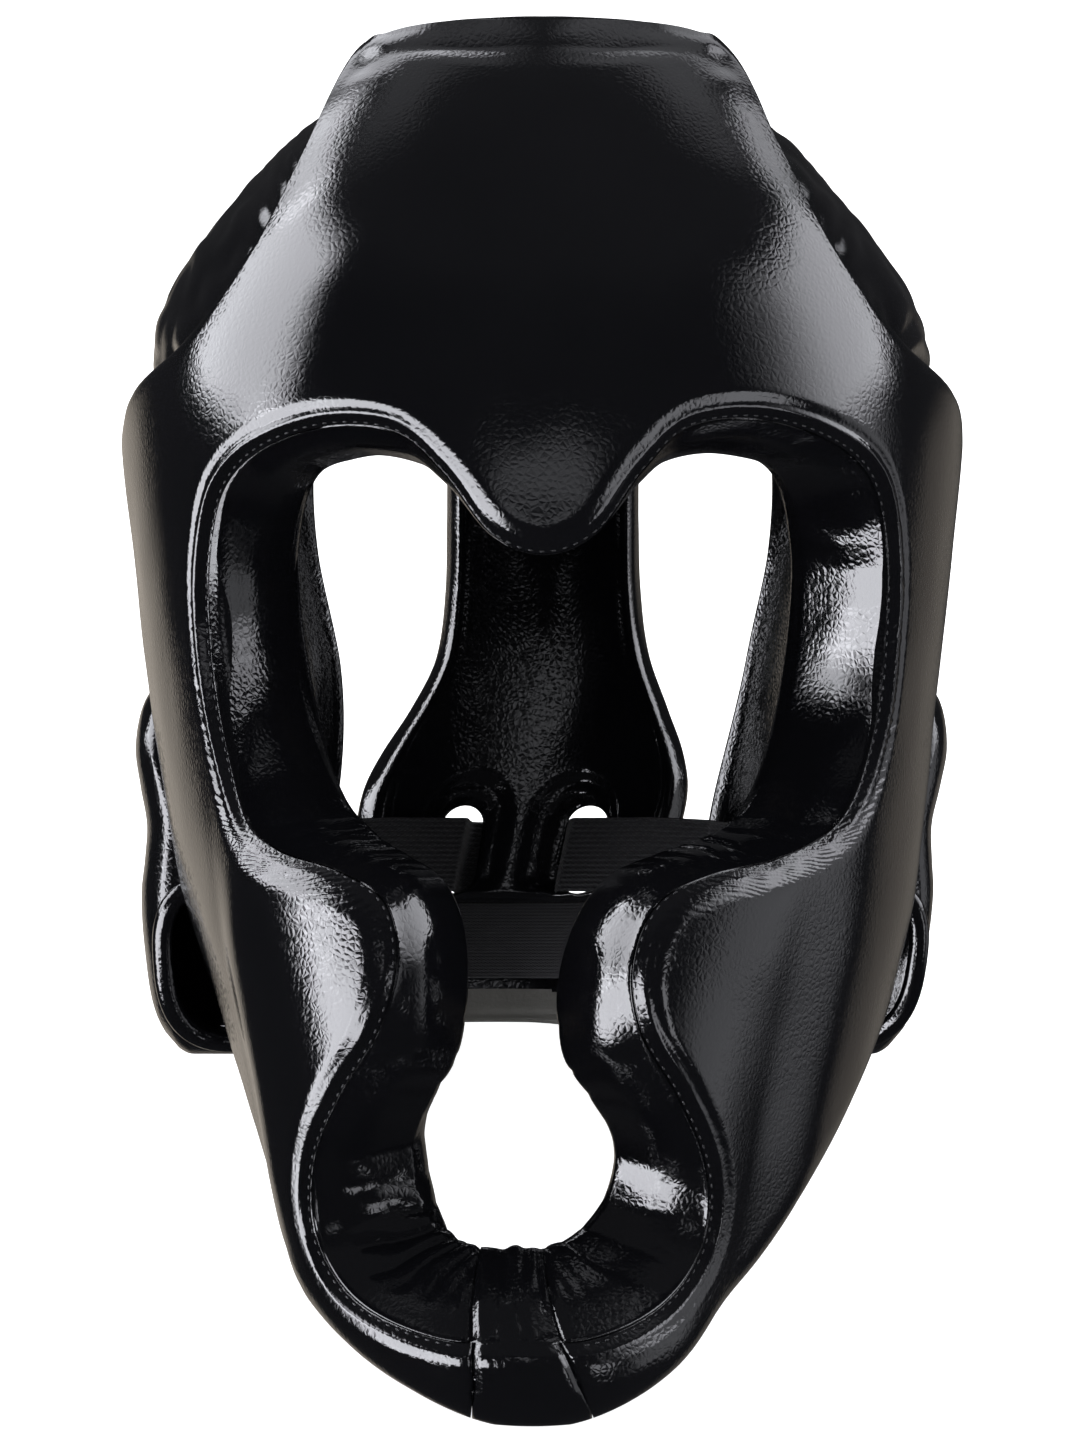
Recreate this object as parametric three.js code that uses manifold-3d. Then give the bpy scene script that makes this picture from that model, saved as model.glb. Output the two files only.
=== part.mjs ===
// Full face sparring headgear of padded black leather, in millimetres.
// Every piece is worked out in the frame of the head that wears it: x across, y to the back of the head, z up,
// with the origin between the temples. At the end the headgear is leaned back on its chin and nape strap.
import * as THREE from "three";
import { mergeVertices } from "three/addons/utils/BufferGeometryUtils.js";
import Module from "manifold-3d";

const wasm = await Module();
wasm.setup();

const GAP = 0.3;

// Outer surface of the face padding: at each height the half width, the y of its front and of its widest
// point, and the power of its rounded section.
const FACE_FORM = [
  { z: -160, half: 46, front: -122, mid: -27, power: 2.0 },
  { z: -135, half: 57, front: -134, mid: -22, power: 2.0 },
  { z: -110, half: 65, front: -138, mid: -16, power: 2.05 },
  { z: -80, half: 74, front: -138, mid: -10, power: 2.1 },
  { z: -40, half: 86, front: -134, mid: -4, power: 2.2 },
  { z: 0, half: 94, front: -128, mid: 0, power: 2.3 },
  { z: 40, half: 97.5, front: -124, mid: 2, power: 2.4 },
  { z: 75, half: 98.5, front: -121, mid: 4, power: 2.4 },
  { z: 105, half: 92, front: -114, mid: 6, power: 2.35 },
  { z: 130, half: 80, front: -100, mid: 8, power: 2.3 },
  { z: 150, half: 66, front: -82, mid: 10, power: 2.3 },
  { z: 170, half: 48, front: -56, mid: 10, power: 2.3 },
];
const FACE_BACK = 110;

// Sections of the face padding, from the dip of the brow down one side to the chin. Each starts on the seam of
// the opening (x, z), where the wall of the opening leans in by spill and swells by bulge, and ends on the
// outline of the pad at an angle around the head and a height.
const FACE_SECTIONS = [
  { x: 0, z: 35.3, spill: -6, bulge: 1, angle: 0, edge: 161.5 },
  { x: 10.5, z: 40, spill: -3, bulge: 1.5, angle: 8, edge: 161 },
  { x: 20, z: 53.5, spill: 2, bulge: 2.5, angle: 18, edge: 160 },
  { x: 30, z: 63.5, spill: 5, bulge: 3.5, angle: 28, edge: 157 },
  { x: 46, z: 67, spill: 5.5, bulge: 4, angle: 35, edge: 149 },
  { x: 62, z: 62.3, spill: 3, bulge: 4, angle: 38, edge: 131 },
  { x: 71.5, z: 52, spill: -2, bulge: 4, angle: 44, edge: 107 },
  { x: 74.5, z: 36, spill: -6, bulge: 4.5, angle: 57, edge: 86 },
  { x: 74, z: 18, spill: -7, bulge: 4.5, angle: 78, edge: 73 },
  { x: 71.3, z: -3, spill: -5, bulge: 4.5, angle: 95, edge: 46 },
  { x: 65.5, z: -20.5, spill: -1, bulge: 4.5, angle: 96, edge: 4 },
  { x: 55, z: -29, spill: 2, bulge: 4.5, angle: 92, edge: -28 },
  { x: 41, z: -32.7, spill: 3, bulge: 5, angle: 87, edge: -47 },
  { x: 30.5, z: -38, spill: 6, bulge: 5, angle: 83, edge: -57 },
  { x: 26.3, z: -49.5, spill: 8, bulge: 5, angle: 79, edge: -66 },
  { x: 28.5, z: -63, spill: 7, bulge: 5, angle: 74, edge: -77 },
  { x: 36, z: -77, spill: 2, bulge: 5, angle: 67, edge: -90 },
  { x: 41.5, z: -92, spill: -2, bulge: 4.5, angle: 59, edge: -104 },
  { x: 41, z: -107.5, spill: 2, bulge: 4, angle: 50, edge: -121 },
  { x: 33, z: -119, spill: 8, bulge: 4, angle: 36, edge: -136 },
  { x: 17, z: -125.3, spill: 13, bulge: 4, angle: 18, edge: -145 },
  { x: 0, z: -126, spill: 14, bulge: 4, angle: 0, edge: -148 },
];
const LAST_SECTION = FACE_SECTIONS.length - 1;
const STEPS_PER_SECTION = 2;
const ODD_COLUMNS = ["x", "angle"];

const PAD = { seam: 30, edge: 24, round: 12, power: 2.3, lip: 3, lipWidth: 6 };
const ROLL = { setback: 13, steps: 5 };
const GUSSET = { inner: 6.5, innerZ: -110, flare: 0.18, reachY: [-200, -40], reachZ: [-95, -170] };

// Outer surface of the soft hood behind the face pad, at the crown and down the back.
const HOOD = { y: 5, z: 60, half: 100, front: 108, top: 105, power: 2.1, thick: 12 };
const HOOD_LOW = [
  { z: -90, half: 72, back: 112 },
  { z: -50, half: 80, back: 117 },
  { z: -20, half: 86, back: 120 },
  { z: 10, half: 92, back: 122 },
  { z: 60, half: 100, back: 124 },
];

// Side panels, from the lower edge up to the crown: each row runs from the outline of the face pad, at a section
// of its table, to a point of the rear edge, and swells outwards on the way.
const WING = [
  { section: 13.2, x: 60, y: 79, z: -82, swell: 0 },
  { section: 12.3, x: 57, y: 90, z: -60, swell: 0 },
  { section: 11.2, x: 56, y: 97, z: -39, swell: 0 },
  { section: 10.6, x: 56, y: 101, z: -16, swell: 0 },
  { section: 9.8, x: 60, y: 103, z: 14, swell: 2 },
  { section: 9.1, x: 66, y: 101, z: 44, swell: 5 },
  { section: 8.4, x: 66, y: 99, z: 70, swell: 10 },
  { section: 7.5, x: 61, y: 97, z: 92, swell: 14 },
  { section: 6.5, x: 54, y: 94, z: 110, swell: 14 },
  { section: 5.5, x: 45, y: 89, z: 127, swell: 11 },
  { section: 4.6, x: 36, y: 83, z: 140, swell: 5 },
];
const WING_STEPS = { across: 9, along: 1.5 };
const WING_REACH = { front: 0.8, rear: 0.8 };
const WING_START = { share: 0.93, lift: -0.15 };
const WING_FULLNESS = { left: 0.95, right: 0.7 };

// Rear pad: down the middle of the hood, the half width at each place. Above the widest line of the hood the
// place is an angle from the crown, below it a height.
const CROWN_STRAP = [
  { angle: -34, half: 27 },
  { angle: -12, half: 27 },
  { angle: 12, half: 27 },
  { angle: 36, half: 27 },
  { angle: 60, half: 27 },
  { angle: 78, half: 27 },
];
const REAR_FLARE = [
  { z: 56, half: 27 },
  { z: 36, half: 27.5 },
  { z: 18, half: 30 },
  { z: 4, half: 36 },
  { z: -8, half: 42 },
  { z: -18, half: 45 },
  { z: -30, half: 44.5 },
  { z: -41, half: 41 },
  { z: -49, half: 33 },
];
const SLOT = { x: 17, z: -34.5, width: 13, height: 29 };

// Bands: shares of the side panels where the sewn ends lie, and places across the back.
const REAR_BAND = {
  top: -24.5, bottom: -44.5, thick: 1.8, inner: 12.4, outer: -1.6,
  shares: [0.74, 0.82, 0.9, 0.97], places: [44, 36, 29, 25, 22, 20, 18, 16, 14, 12, 9, 4],
};
const NAPE_BAND = {
  top: -51.5, bottom: -72, thick: 1.8, inner: 12.4, middle: 3,
  shares: [0.8, 0.88, 0.96], places: [42, 35, 28, 21, 14, 7],
};
const NAPE_STRAP = { top: -54, bottom: -82, thick: 7, shares: [0.72, 0.8, 0.88, 0.96], places: [48, 40, 32, 24, 16, 8] };

// Ear cups: rings of an oval from the outer face inwards.
const EAR = { y: 27, z: -36, reachY: 33, reachZ: 46, outer: 99, low: 88, power: 2.6, wall: 5 };
const EAR_RINGS = [
  { inward: 0, scale: 0.7 },
  { inward: 1.2, scale: 0.85 },
  { inward: 4, scale: 0.95 },
  { inward: 8, scale: 1 },
  { inward: 22, scale: 1 },
];
const SCOOP = { top: -38, bottom: -76, back: 48 };

// The stand: the floor meets the head frame at two places, and the soft lower face leans a little to one side.
const FLOOR = { chinY: -105, chinZ: -138, napeY: 121, napeZ: -80 };
const LEAN = { reach: -6, from: 20, to: -70 };

const v3 = (x, y, z) => new THREE.Vector3(x, y, z);
const rad = THREE.MathUtils.degToRad;
const { lerp, smoothstep, clamp } = THREE.MathUtils;
const signedPower = (value, power) => Math.sign(value) * Math.abs(value) ** power;

/** Cubic through four neighbouring values, at a share of the way from the second to the third. */
function cubic(a, b, c, d, share) {
  const rise = (c - a) / 2;
  const fall = (d - b) / 2;
  const t = share;
  return b + t * (rise + t * (3 * (c - b) - 2 * rise - fall + t * (2 * (b - c) + rise + fall)));
}

/** One column of a table, read smoothly at a value of its key column, which rises down the table. */
function readTable(rows, key, column, at) {
  let k = 0;
  while (k < rows.length - 2 && rows[k + 1][key] < at) k += 1;
  const [p, q] = [rows[k], rows[k + 1]];
  const slope = (i) => {
    const a = rows[Math.max(i - 1, 0)];
    const b = rows[Math.min(i + 1, rows.length - 1)];
    return (b[column] - a[column]) / (b[key] - a[key]);
  };
  const span = q[key] - p[key];
  const t = clamp((at - p[key]) / span, 0, 1);
  const [m, n] = [slope(k) * span, slope(k + 1) * span];
  const step = q[column] - p[column];
  return p[column] + t * (m + t * (3 * step - 2 * m - n + t * (m + n - 2 * step)));
}

/** Point of the face form at an angle around the head and a height. */
function facePoint(angle, z) {
  const [half, front, mid, power] = ["half", "front", "mid", "power"].map((c) => readTable(FACE_FORM, "z", c, z));
  const across = signedPower(Math.sin(angle), 2 / power);
  const ahead = signedPower(Math.cos(angle), 2 / power);
  return v3(half * across, mid - (ahead > 0 ? mid - front : FACE_BACK) * ahead, z);
}

/** Outward normal of a surface given by two numbers, from small steps along each. */
function normalOf(surface, a, b, stepA, stepB) {
  const alongA = surface(a + stepA, b).sub(surface(a - stepA, b));
  const alongB = surface(a, b + stepB).sub(surface(a, b - stepB));
  return alongA.cross(alongB).normalize();
}

/** Values of the face table at a section number, which is negative on the other side of the face. */
function faceSection(number) {
  const side = Math.sign(number) || 1;
  const at = Math.min(Math.abs(number), LAST_SECTION);
  const k = Math.min(Math.floor(at), LAST_SECTION - 1);
  const read = (column) => {
    const odd = ODD_COLUMNS.includes(column) ? -1 : 1;
    const value = (i) => {
      if (i < 0) return odd * FACE_SECTIONS[-i][column];
      if (i > LAST_SECTION) return odd * FACE_SECTIONS[2 * LAST_SECTION - i][column];
      return FACE_SECTIONS[i][column];
    };
    const found = cubic(value(k - 1), value(k), value(k + 1), value(k + 2), at - k);
    return odd < 0 ? side * found : found;
  };
  return Object.fromEntries(Object.keys(FACE_SECTIONS[0]).map((column) => [column, read(column)]));
}

/** Angle of the face form at which its surface has a given x. */
function angleAt(x, z) {
  const half = readTable(FACE_FORM, "z", "half", z);
  const power = readTable(FACE_FORM, "z", "power", z);
  return Math.asin(clamp(signedPower(x / half, power / 2), -1, 1));
}

/** Direction into the opening, square to the seam in the front view, as x and z. */
function seamInward(number) {
  const [p, q] = [faceSection(number - 0.02), faceSection(number + 0.02)];
  const along = new THREE.Vector2(q.x - p.x, q.z - p.z).normalize();
  return new THREE.Vector2(along.y, -along.x);
}

/** One section of the face padding: points along it, and points beside its seam on the way into the opening. */
function padSection(number, grow) {
  const row = faceSection(number);
  const seam = { angle: angleAt(row.x, row.z), z: row.z };
  const edge = { angle: rad(row.angle), z: row.edge };
  const place = (share) => [lerp(seam.angle, edge.angle, share), lerp(seam.z, edge.z, share)];
  const surface = (share) => facePoint(...place(share));
  let length = 0;
  for (let k = 0; k < 12; k++) length += surface(k / 12).distanceTo(surface((k + 1) / 12));
  const round = Math.min(PAD.round, 0.6 * length);
  const raised = (angle, z, depth, lift) => {
    const normal = normalOf(facePoint, angle, z, 1e-3, 1e-2);
    return facePoint(angle, z).addScaledVector(normal, depth * (lift - 1) / 2 + lift * grow);
  };
  const depthAt = (share) => lerp(PAD.seam, PAD.edge, smoothstep(share, 0, 1));
  const at = (share, lift) => raised(...place(share), depthAt(share), lift);
  const into = seamInward(number);
  const beside = (offset, lift) => {
    const [x, z] = [row.x + offset * into.x, row.z + offset * into.y];
    return raised(angleAt(x, z), z, PAD.seam, lift);
  };
  const stretch = beside(0.5, 1).sub(beside(-0.5, 1));
  const seamPoint = at(0, 1).lerp(at(0, -1), PAD.lip / PAD.seam);
  const root = beside(-ROLL.setback / stretch.length(), -1);
  return { row, length, round, at, beside, seamPoint, root, inward: stretch.normalize() };
}

const FLAT_SHARES = [0, 0.07, 0.2, 0.4, 0.6, 0.8, 1];
const ROUND_TURNS = [62, 36, 14];

/** The two faces of a pad section: outer points from the seam to the outline, and inner points likewise. */
function padFaces(section, grow) {
  const { length, round, at, seamPoint, root } = section;
  const lipShare = PAD.lipWidth / length;
  const flatEnd = 1 - round / length;
  const back = Math.min(1.3 * ROLL.setback / length, 0.7 * flatEnd);
  const outer = FLAT_SHARES.map((f) => {
    const share = f * flatEnd;
    const drop = PAD.lip * (1 - Math.min(share / lipShare, 1)) ** 2;
    return at(share, 1).lerp(at(share, -1), drop / PAD.seam);
  });
  const inner = FLAT_SHARES.map((f) => at(lerp(back, flatEnd, f), -1));
  outer[0] = seamPoint.clone();
  inner[0] = root.clone();
  for (const turn of ROUND_TURNS) {
    const out = 1 - Math.cos(rad(turn)) ** (2 / PAD.power);
    const lift = Math.sin(rad(turn)) ** (2 / PAD.power);
    const share = 1 - out * round / length + grow / length;
    outer.push(at(share, lift));
    inner.push(at(share, -lift));
  }
  return { outer, inner };
}

/** The wall of the opening in a section: points from the seam over the bulge to the inner edge. */
function rollFace(section) {
  const { row, inward, beside, seamPoint } = section;
  const heel = beside(row.spill, -1);
  return range(0, 1, 1 / ROLL.steps).map((share) => {
    const swell = row.bulge * Math.sin(Math.PI * share) ** 0.8;
    return seamPoint.clone().lerp(heel, share).addScaledVector(inward, swell);
  });
}

/** Closed solid through rings of points. The ends are closed by a ladder between the two halves of the ring. */
function loft(rings, looped = false) {
  const count = rings[0].length;
  const index = [];
  const pairs = looped ? rings.length : rings.length - 1;
  for (let r = 0; r < pairs; r++) {
    const near = r * count;
    const far = ((r + 1) % rings.length) * count;
    for (let k = 0; k < count; k++) {
      const next = (k + 1) % count;
      index.push(near + k, near + next, far + k, near + next, far + next, far + k);
    }
  }
  if (!looped) {
    const last = (rings.length - 1) * count;
    for (let k = 0; k + 1 < count / 2; k++) {
      const [a, b, c, d] = [k, k + 1, count - 2 - k, count - 1 - k];
      index.push(a, d, b);
      if (b !== c) index.push(b, d, c);
      index.push(last + a, last + b, last + d);
      if (b !== c) index.push(last + b, last + c, last + d);
    }
  }
  const geometry = new THREE.BufferGeometry();
  geometry.setAttribute("position", new THREE.Float32BufferAttribute(rings.flat().flatMap((p) => p.toArray()), 3));
  geometry.setIndex(index);
  return outward(geometry);
}

/** The same closed surface with its faces turned outwards. */
function outward(geometry) {
  const index = geometry.index.array;
  const corner = (k) => v3().fromBufferAttribute(geometry.attributes.position, index[k]);
  let volume = 0;
  for (let k = 0; k < index.length; k += 3) volume += corner(k).dot(corner(k + 1).cross(corner(k + 2)));
  if (volume < 0) geometry.setIndex([...index].reverse());
  return geometry;
}

function solidOf(geometry) {
  const bare = new THREE.BufferGeometry();
  bare.setAttribute("position", geometry.attributes.position);
  bare.setIndex(geometry.index);
  const merged = mergeVertices(bare, 1e-4);
  const mesh = new wasm.Mesh({
    numProp: 3,
    vertProperties: new Float32Array(merged.attributes.position.array),
    triVerts: new Uint32Array(merged.index.array),
  });
  return new wasm.Manifold(mesh);
}

function geometryOf(solid) {
  const mesh = solid.getMesh();
  const geometry = new THREE.BufferGeometry();
  geometry.setAttribute("position", new THREE.Float32BufferAttribute(mesh.vertProperties, 3));
  geometry.setIndex([...mesh.triVerts]);
  return geometry;
}

/** A piece less the pieces that it meets. */
const cutBy = (geometry, ...tools) =>
  geometryOf(tools.reduce((left, tool) => left.subtract(solidOf(tool)), solidOf(geometry)));

function range(from, to, step) {
  const count = Math.round((to - from) / step);
  return Array.from({ length: count + 1 }, (_, k) => lerp(from, to, k / count));
}

const wholeLoop = () => range(-LAST_SECTION, LAST_SECTION, 1 / STEPS_PER_SECTION).slice(1);

function makeShell(grow = 0) {
  const rings = wholeLoop().map((number) => {
    const { outer, inner } = padFaces(padSection(number, grow), grow);
    return [...outer, ...inner.reverse()];
  });
  return loft(rings, true);
}

function makeRoll() {
  const rings = wholeLoop().map((number) => {
    const section = padSection(number, 0);
    const shift = (point) => point.clone().addScaledVector(section.inward, GAP);
    const middle = section.root.clone().lerp(section.seamPoint, 0.5);
    return [shift(section.seamPoint), ...rollFace(section).slice(1), shift(section.root), shift(middle)];
  });
  return loft(rings, true);
}

/** The block of space between the two seams of the chin. */
function chinWedge(grow = 0) {
  const width = (z) => GUSSET.inner + GUSSET.flare * (GUSSET.innerZ - z) + grow;
  const rings = GUSSET.reachY.map((y) => {
    const [top, bottom] = GUSSET.reachZ;
    return [v3(-width(top), y, top), v3(width(top), y, top), v3(width(bottom), y, bottom), v3(-width(bottom), y, bottom)];
  });
  return loft(rings);
}

function makeGusset() {
  const fold = (number) => (number > LAST_SECTION ? number - 2 * LAST_SECTION : number);
  const rings = range(LAST_SECTION - 1.5, LAST_SECTION + 1.5, 1 / STEPS_PER_SECTION).map((number) => {
    const section = padSection(fold(number), 0);
    const { outer, inner } = padFaces(section, 0);
    const wall = rollFace(section);
    return [...wall.slice(1).reverse(), ...outer, ...inner.reverse()];
  });
  return geometryOf(solidOf(loft(rings)).intersect(solidOf(chinWedge())));
}

const hoodShare = (offset, reach) => Math.max(1 - Math.abs(offset / reach) ** HOOD.power, 0) ** (1 / HOOD.power);

/** Point on the back of the hood at a height below its widest line and an x. */
function hoodBack(z, x) {
  const half = readTable(HOOD_LOW, "z", "half", z);
  return v3(x, HOOD.y + readTable(HOOD_LOW, "z", "back", z) * hoodShare(x, half), z);
}

/** Point on the crown of the hood at an angle from its top and an x. */
function hoodCrown(angle, x) {
  const share = hoodShare(x, HOOD.half);
  const along = signedPower(Math.sin(angle), 2 / HOOD.power);
  const reach = angle < 0 ? HOOD.front : HOOD_LOW.at(-1).back;
  return v3(x, HOOD.y + reach * along * share, HOOD.z + HOOD.top * Math.cos(angle) ** (2 / HOOD.power) * share);
}

const CROWN_EDGE = { front: -36, rear: 34 };

/** One row of the side panel table, read between rows. */
function wingRow(row) {
  const k = Math.min(Math.floor(row), WING.length - 2);
  const value = (i, column) => WING[clamp(i, 0, WING.length - 1)][column];
  const read = (column) => cubic(...[-1, 0, 1, 2].map((i) => value(k + i, column)), row - k);
  return Object.fromEntries(Object.keys(WING[0]).map((column) => [column, read(column)]));
}

/** Point of the outer face of a side panel, at a row of its table and a share of the way to its rear edge. */
function wingPoint(row, share, fullness) {
  const { section, x, y, z, swell } = wingRow(row);
  const { at } = padSection(section, 0);
  const front = at(WING_START.share, WING_START.lift);
  const leave = at(WING_START.share, WING_START.lift).sub(at(WING_START.share - 0.03, WING_START.lift)).normalize();
  leave.add(v3(0, 1, 0)).normalize();
  const rear = v3(x, y, z);
  const up = Math.max(z - 40, 0) / 125 ** 2;
  const normal = v3(x / HOOD.half ** 2, (y - HOOD.y) / 124 ** 2, up).normalize();
  const arrive = v3(0, 1, 0).addScaledVector(normal, -normal.y).normalize();
  const span = front.distanceTo(rear);
  const place = new THREE.CubicBezierCurve3(
    front,
    front.clone().addScaledVector(leave, span * WING_REACH.front / 3),
    rear.clone().addScaledVector(arrive, -span * WING_REACH.rear / 3),
    rear,
  );
  const outwards = v3(front.x, 0, Math.max(front.z - 40, 0)).normalize();
  return place.getPoint(share).addScaledVector(outwards, fullness * swell * Math.sin(Math.PI * share ** 0.7));
}

function wingNormal(row, share, fullness) {
  const surface = (r, s) => wingPoint(r, s, fullness);
  return normalOf(surface, clamp(row, 0.02, WING.length - 1.02), clamp(share, 0.01, 0.99), 0.01, 0.005).negate();
}

function makeWing(fullness, grow = 0) {
  const shares = range(0, 1, 1 / WING_STEPS.across);
  const ring = (pointAt, normalAt) => {
    const face = (lift) => shares.map((share) => pointAt(share).addScaledVector(normalAt(share), lift));
    return [...face(grow), ...face(-HOOD.thick - grow).reverse()];
  };
  const rings = range(0, WING.length - 1, 1 / WING_STEPS.along).map((row) =>
    ring((share) => wingPoint(row, share, fullness), (share) => wingNormal(row, share, fullness)));
  const edge = CROWN_STRAP[0].half + GAP;
  const angleOf = (share) => rad(lerp(CROWN_EDGE.front, CROWN_EDGE.rear, share));
  const crownNormal = (share) => normalOf(hoodCrown, angleOf(share), edge, 1e-3, 0.05).negate().setX(0).normalize();
  rings.push(ring((share) => hoodCrown(angleOf(share), edge), crownNormal));
  return loft(rings);
}

const mirrored = (geometry) => {
  const other = geometry.clone().applyMatrix4(new THREE.Matrix4().makeScale(-1, 1, 1));
  return outward(other);
};

const STRAP_SHARES = [-1, -0.6, -0.2, 0.2, 0.6, 1];

function makeRearPad() {
  const rings = [];
  const addRing = (surface, place, half, stepPlace) => {
    const outer = [];
    const inner = [];
    for (const share of STRAP_SHARES) {
      const normal = normalOf(surface, place, share * half, stepPlace, 0.05);
      if (normal.y * (surface(place, 0).y - HOOD.y) + normal.z * (surface(place, 0).z - HOOD.z + 60) < 0) normal.negate();
      if (Math.abs(share) === 1 && half === CROWN_STRAP[0].half) normal.setX(0).normalize();
      const point = surface(place, share * half);
      outer.push(point.clone());
      inner.push(point.clone().addScaledVector(normal, -HOOD.thick));
    }
    rings.push([...outer, ...inner.reverse()]);
  };
  for (const { angle, half } of CROWN_STRAP) addRing(hoodCrown, rad(angle), half, 1e-3);
  for (const { z, half } of REAR_FLARE) addRing(hoodBack, z, half, 0.05);
  const slot = slotTool();
  return cutBy(loft(rings), slot, mirrored(slot));
}

/** Upright slot through the rear pad. */
function slotTool() {
  const { width, height, x, z } = SLOT;
  const straight = height - width;
  const rings = [60, 160].map((y) => {
    const near = [];
    const far = [];
    for (const turn of range(0, 180, 30)) {
      const [c, s] = [Math.cos(rad(turn)) * width / 2, Math.sin(rad(turn)) * width / 2];
      near.push(v3(x + c, y, z + straight / 2 + s));
      far.push(v3(x + c, y, z - straight / 2 - s));
    }
    return [...near, ...far.reverse()];
  });
  return loft(rings);
}

/** Row of the side panel at which its outer face has a given height, at a share of the way to the rear edge. */
function wingRowAt(z, share) {
  let [low, high] = [0, WING.length - 1];
  for (let k = 0; k < 30; k++) {
    const middle = (low + high) / 2;
    if (wingPoint(middle, share, 1).z < z) low = middle;
    else high = middle;
  }
  return low;
}

/** Upright band across the back: shares place it along the side panels, and places are x across the hood. */
function makeBand({ top, bottom, thick, shares, places }, wingDepth, hoodDepth) {
  const onWing = (share) => (z, inset) => {
    const row = wingRowAt(z, share);
    return wingPoint(row, share, 1).addScaledVector(wingNormal(row, share, 1), -wingDepth - inset);
  };
  const onHood = (x) => (z, inset) => {
    const normal = normalOf(hoodBack, z, x, 0.05, 0.05);
    if (normal.y < 0) normal.negate();
    return hoodBack(z, x).addScaledVector(normal, -hoodDepth(x) - inset);
  };
  const section = (edge) => [edge(top, 0), edge(bottom, 0), edge(bottom, thick), edge(top, thick)];
  const side = [...shares.map((share) => section(onWing(share))), ...places.map((x) => section(onHood(x)))];
  const turned = side.map((ring) => ring.map((p) => v3(-p.x, p.y, p.z))).reverse();
  return loft([...side, ...turned]);
}

function makeRearBand() {
  const { thick, inner, outer } = REAR_BAND;
  const depthAt = (x) => lerp(outer - thick, inner + 1, smoothstep(x, SLOT.x - 5.5, SLOT.x + 5.5));
  return makeBand(REAR_BAND, inner, depthAt);
}

function makeNapeBand() {
  const { inner, middle } = NAPE_BAND;
  return makeBand(NAPE_BAND, inner, (x) => lerp(middle, inner, smoothstep(x, 6, 52)));
}

const floorSlope = (FLOOR.napeZ - FLOOR.chinZ) / (FLOOR.napeY - FLOOR.chinY);
const floorHeight = (y) => FLOOR.chinZ + (y - FLOOR.chinY) * floorSlope;

function makeNapeStrap() {
  const depth = -NAPE_STRAP.thick - 4 * GAP;
  return makeBand(NAPE_STRAP, depth, () => depth);
}

function makeEarPad() {
  const oval = (turn, scale, inward) => {
    const y = EAR.y + scale * EAR.reachY * signedPower(Math.cos(turn), 2 / EAR.power);
    const z = EAR.z + scale * EAR.reachZ * signedPower(Math.sin(turn), 2 / EAR.power);
    return v3(lerp(EAR.outer, EAR.low, (EAR.z + EAR.reachZ - z) / (2 * EAR.reachZ)) - inward, y, z);
  };
  const rings = EAR_RINGS.map(({ inward, scale }) => range(0, 345, 15).map((turn) => oval(rad(turn + 7.5), scale, inward)));
  const cup = loft(rings);
  const [top, bottom, back] = [SCOOP.top, SCOOP.bottom, SCOOP.back];
  const outerAt = (z) => lerp(EAR.outer, EAR.low, (EAR.z + EAR.reachZ - z) / (2 * EAR.reachZ)) - EAR.wall;
  const corner = (z, y) => [v3(outerAt(z), y, z), v3(40, y, z)];
  const pocket = loft([-60, back].map((y) => {
    const [a, b] = corner(top, y);
    const [c, d] = corner(bottom, y);
    return [a, b, d, c];
  }));
  return cutBy(cup, pocket);
}

/** Moves the points of a piece by the lean of the lower face, and flattens what would sink below the floor. */
function settle(geometry) {
  const place = geometry.attributes.position;
  for (let k = 0; k < place.count; k++) {
    const p = v3().fromBufferAttribute(place, k);
    p.x += LEAN.reach * smoothstep(LEAN.from - p.z, 0, LEAN.from - LEAN.to);
    p.z = Math.max(p.z, floorHeight(p.y));
    place.setXYZ(k, p.x, p.y, p.z);
  }
  return geometry;
}

const leather = new THREE.MeshStandardMaterial({ name: "leather", color: 0x121113, roughness: 0.35 });
const ribbed = new THREE.MeshStandardMaterial({ name: "ribbed_elastic", color: 0x0c0c0d, roughness: 0.9 });
const woven = new THREE.MeshStandardMaterial({ name: "woven_elastic", color: 0x0e0e10, roughness: 0.85 });

const { left, right } = WING_FULLNESS;
const shellTool = makeShell(GAP);
const earPad = makeEarPad();

const pieces = [
  ["face_shell", cutBy(makeShell(), chinWedge(GAP)), leather],
  ["face_roll", cutBy(makeRoll(), chinWedge(GAP)), leather],
  ["chin_gusset", makeGusset(), leather],
  ["wing_left", cutBy(mirrored(makeWing(left)), shellTool), leather],
  ["wing_right", cutBy(makeWing(right), shellTool), leather],
  ["ear_pad_left", cutBy(mirrored(earPad), shellTool, mirrored(makeWing(left, GAP))), leather],
  ["ear_pad_right", cutBy(earPad, shellTool, makeWing(right, GAP)), leather],
  ["rear_pad", cutBy(makeRearPad(), shellTool), leather],
  ["rear_elastic", makeRearBand(), ribbed],
  ["nape_elastic", makeNapeBand(), woven],
  ["nape_strap", makeNapeStrap(), leather],
];

const headgear = new THREE.Group();
headgear.name = "full_face_sparring_headgear";
const toFloor = new THREE.Matrix4().makeRotationX(-Math.atan(floorSlope));
for (const [name, geometry, material] of pieces) {
  settle(geometry).applyMatrix4(toFloor);
  const mesh = new THREE.Mesh(geometry, material);
  mesh.name = name;
  headgear.add(mesh);
}
const bounds = new THREE.Box3().setFromObject(headgear);
const middle = bounds.getCenter(v3());
for (const piece of headgear.children) piece.geometry.translate(-middle.x, -middle.y, -bounds.min.z);

export default headgear;
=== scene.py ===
"""Full face sparring headgear of padded black leather.

It has a keyhole opening, ear cups, a rear pad and elastic bands. Points are worked out in millimetres in the
frame of the head that wears it: x across the face, y to the back, z up. At the end each piece is leaned back
onto the floor, in metres, where its solid in the frame stands.
"""
import math
from functools import partial

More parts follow.
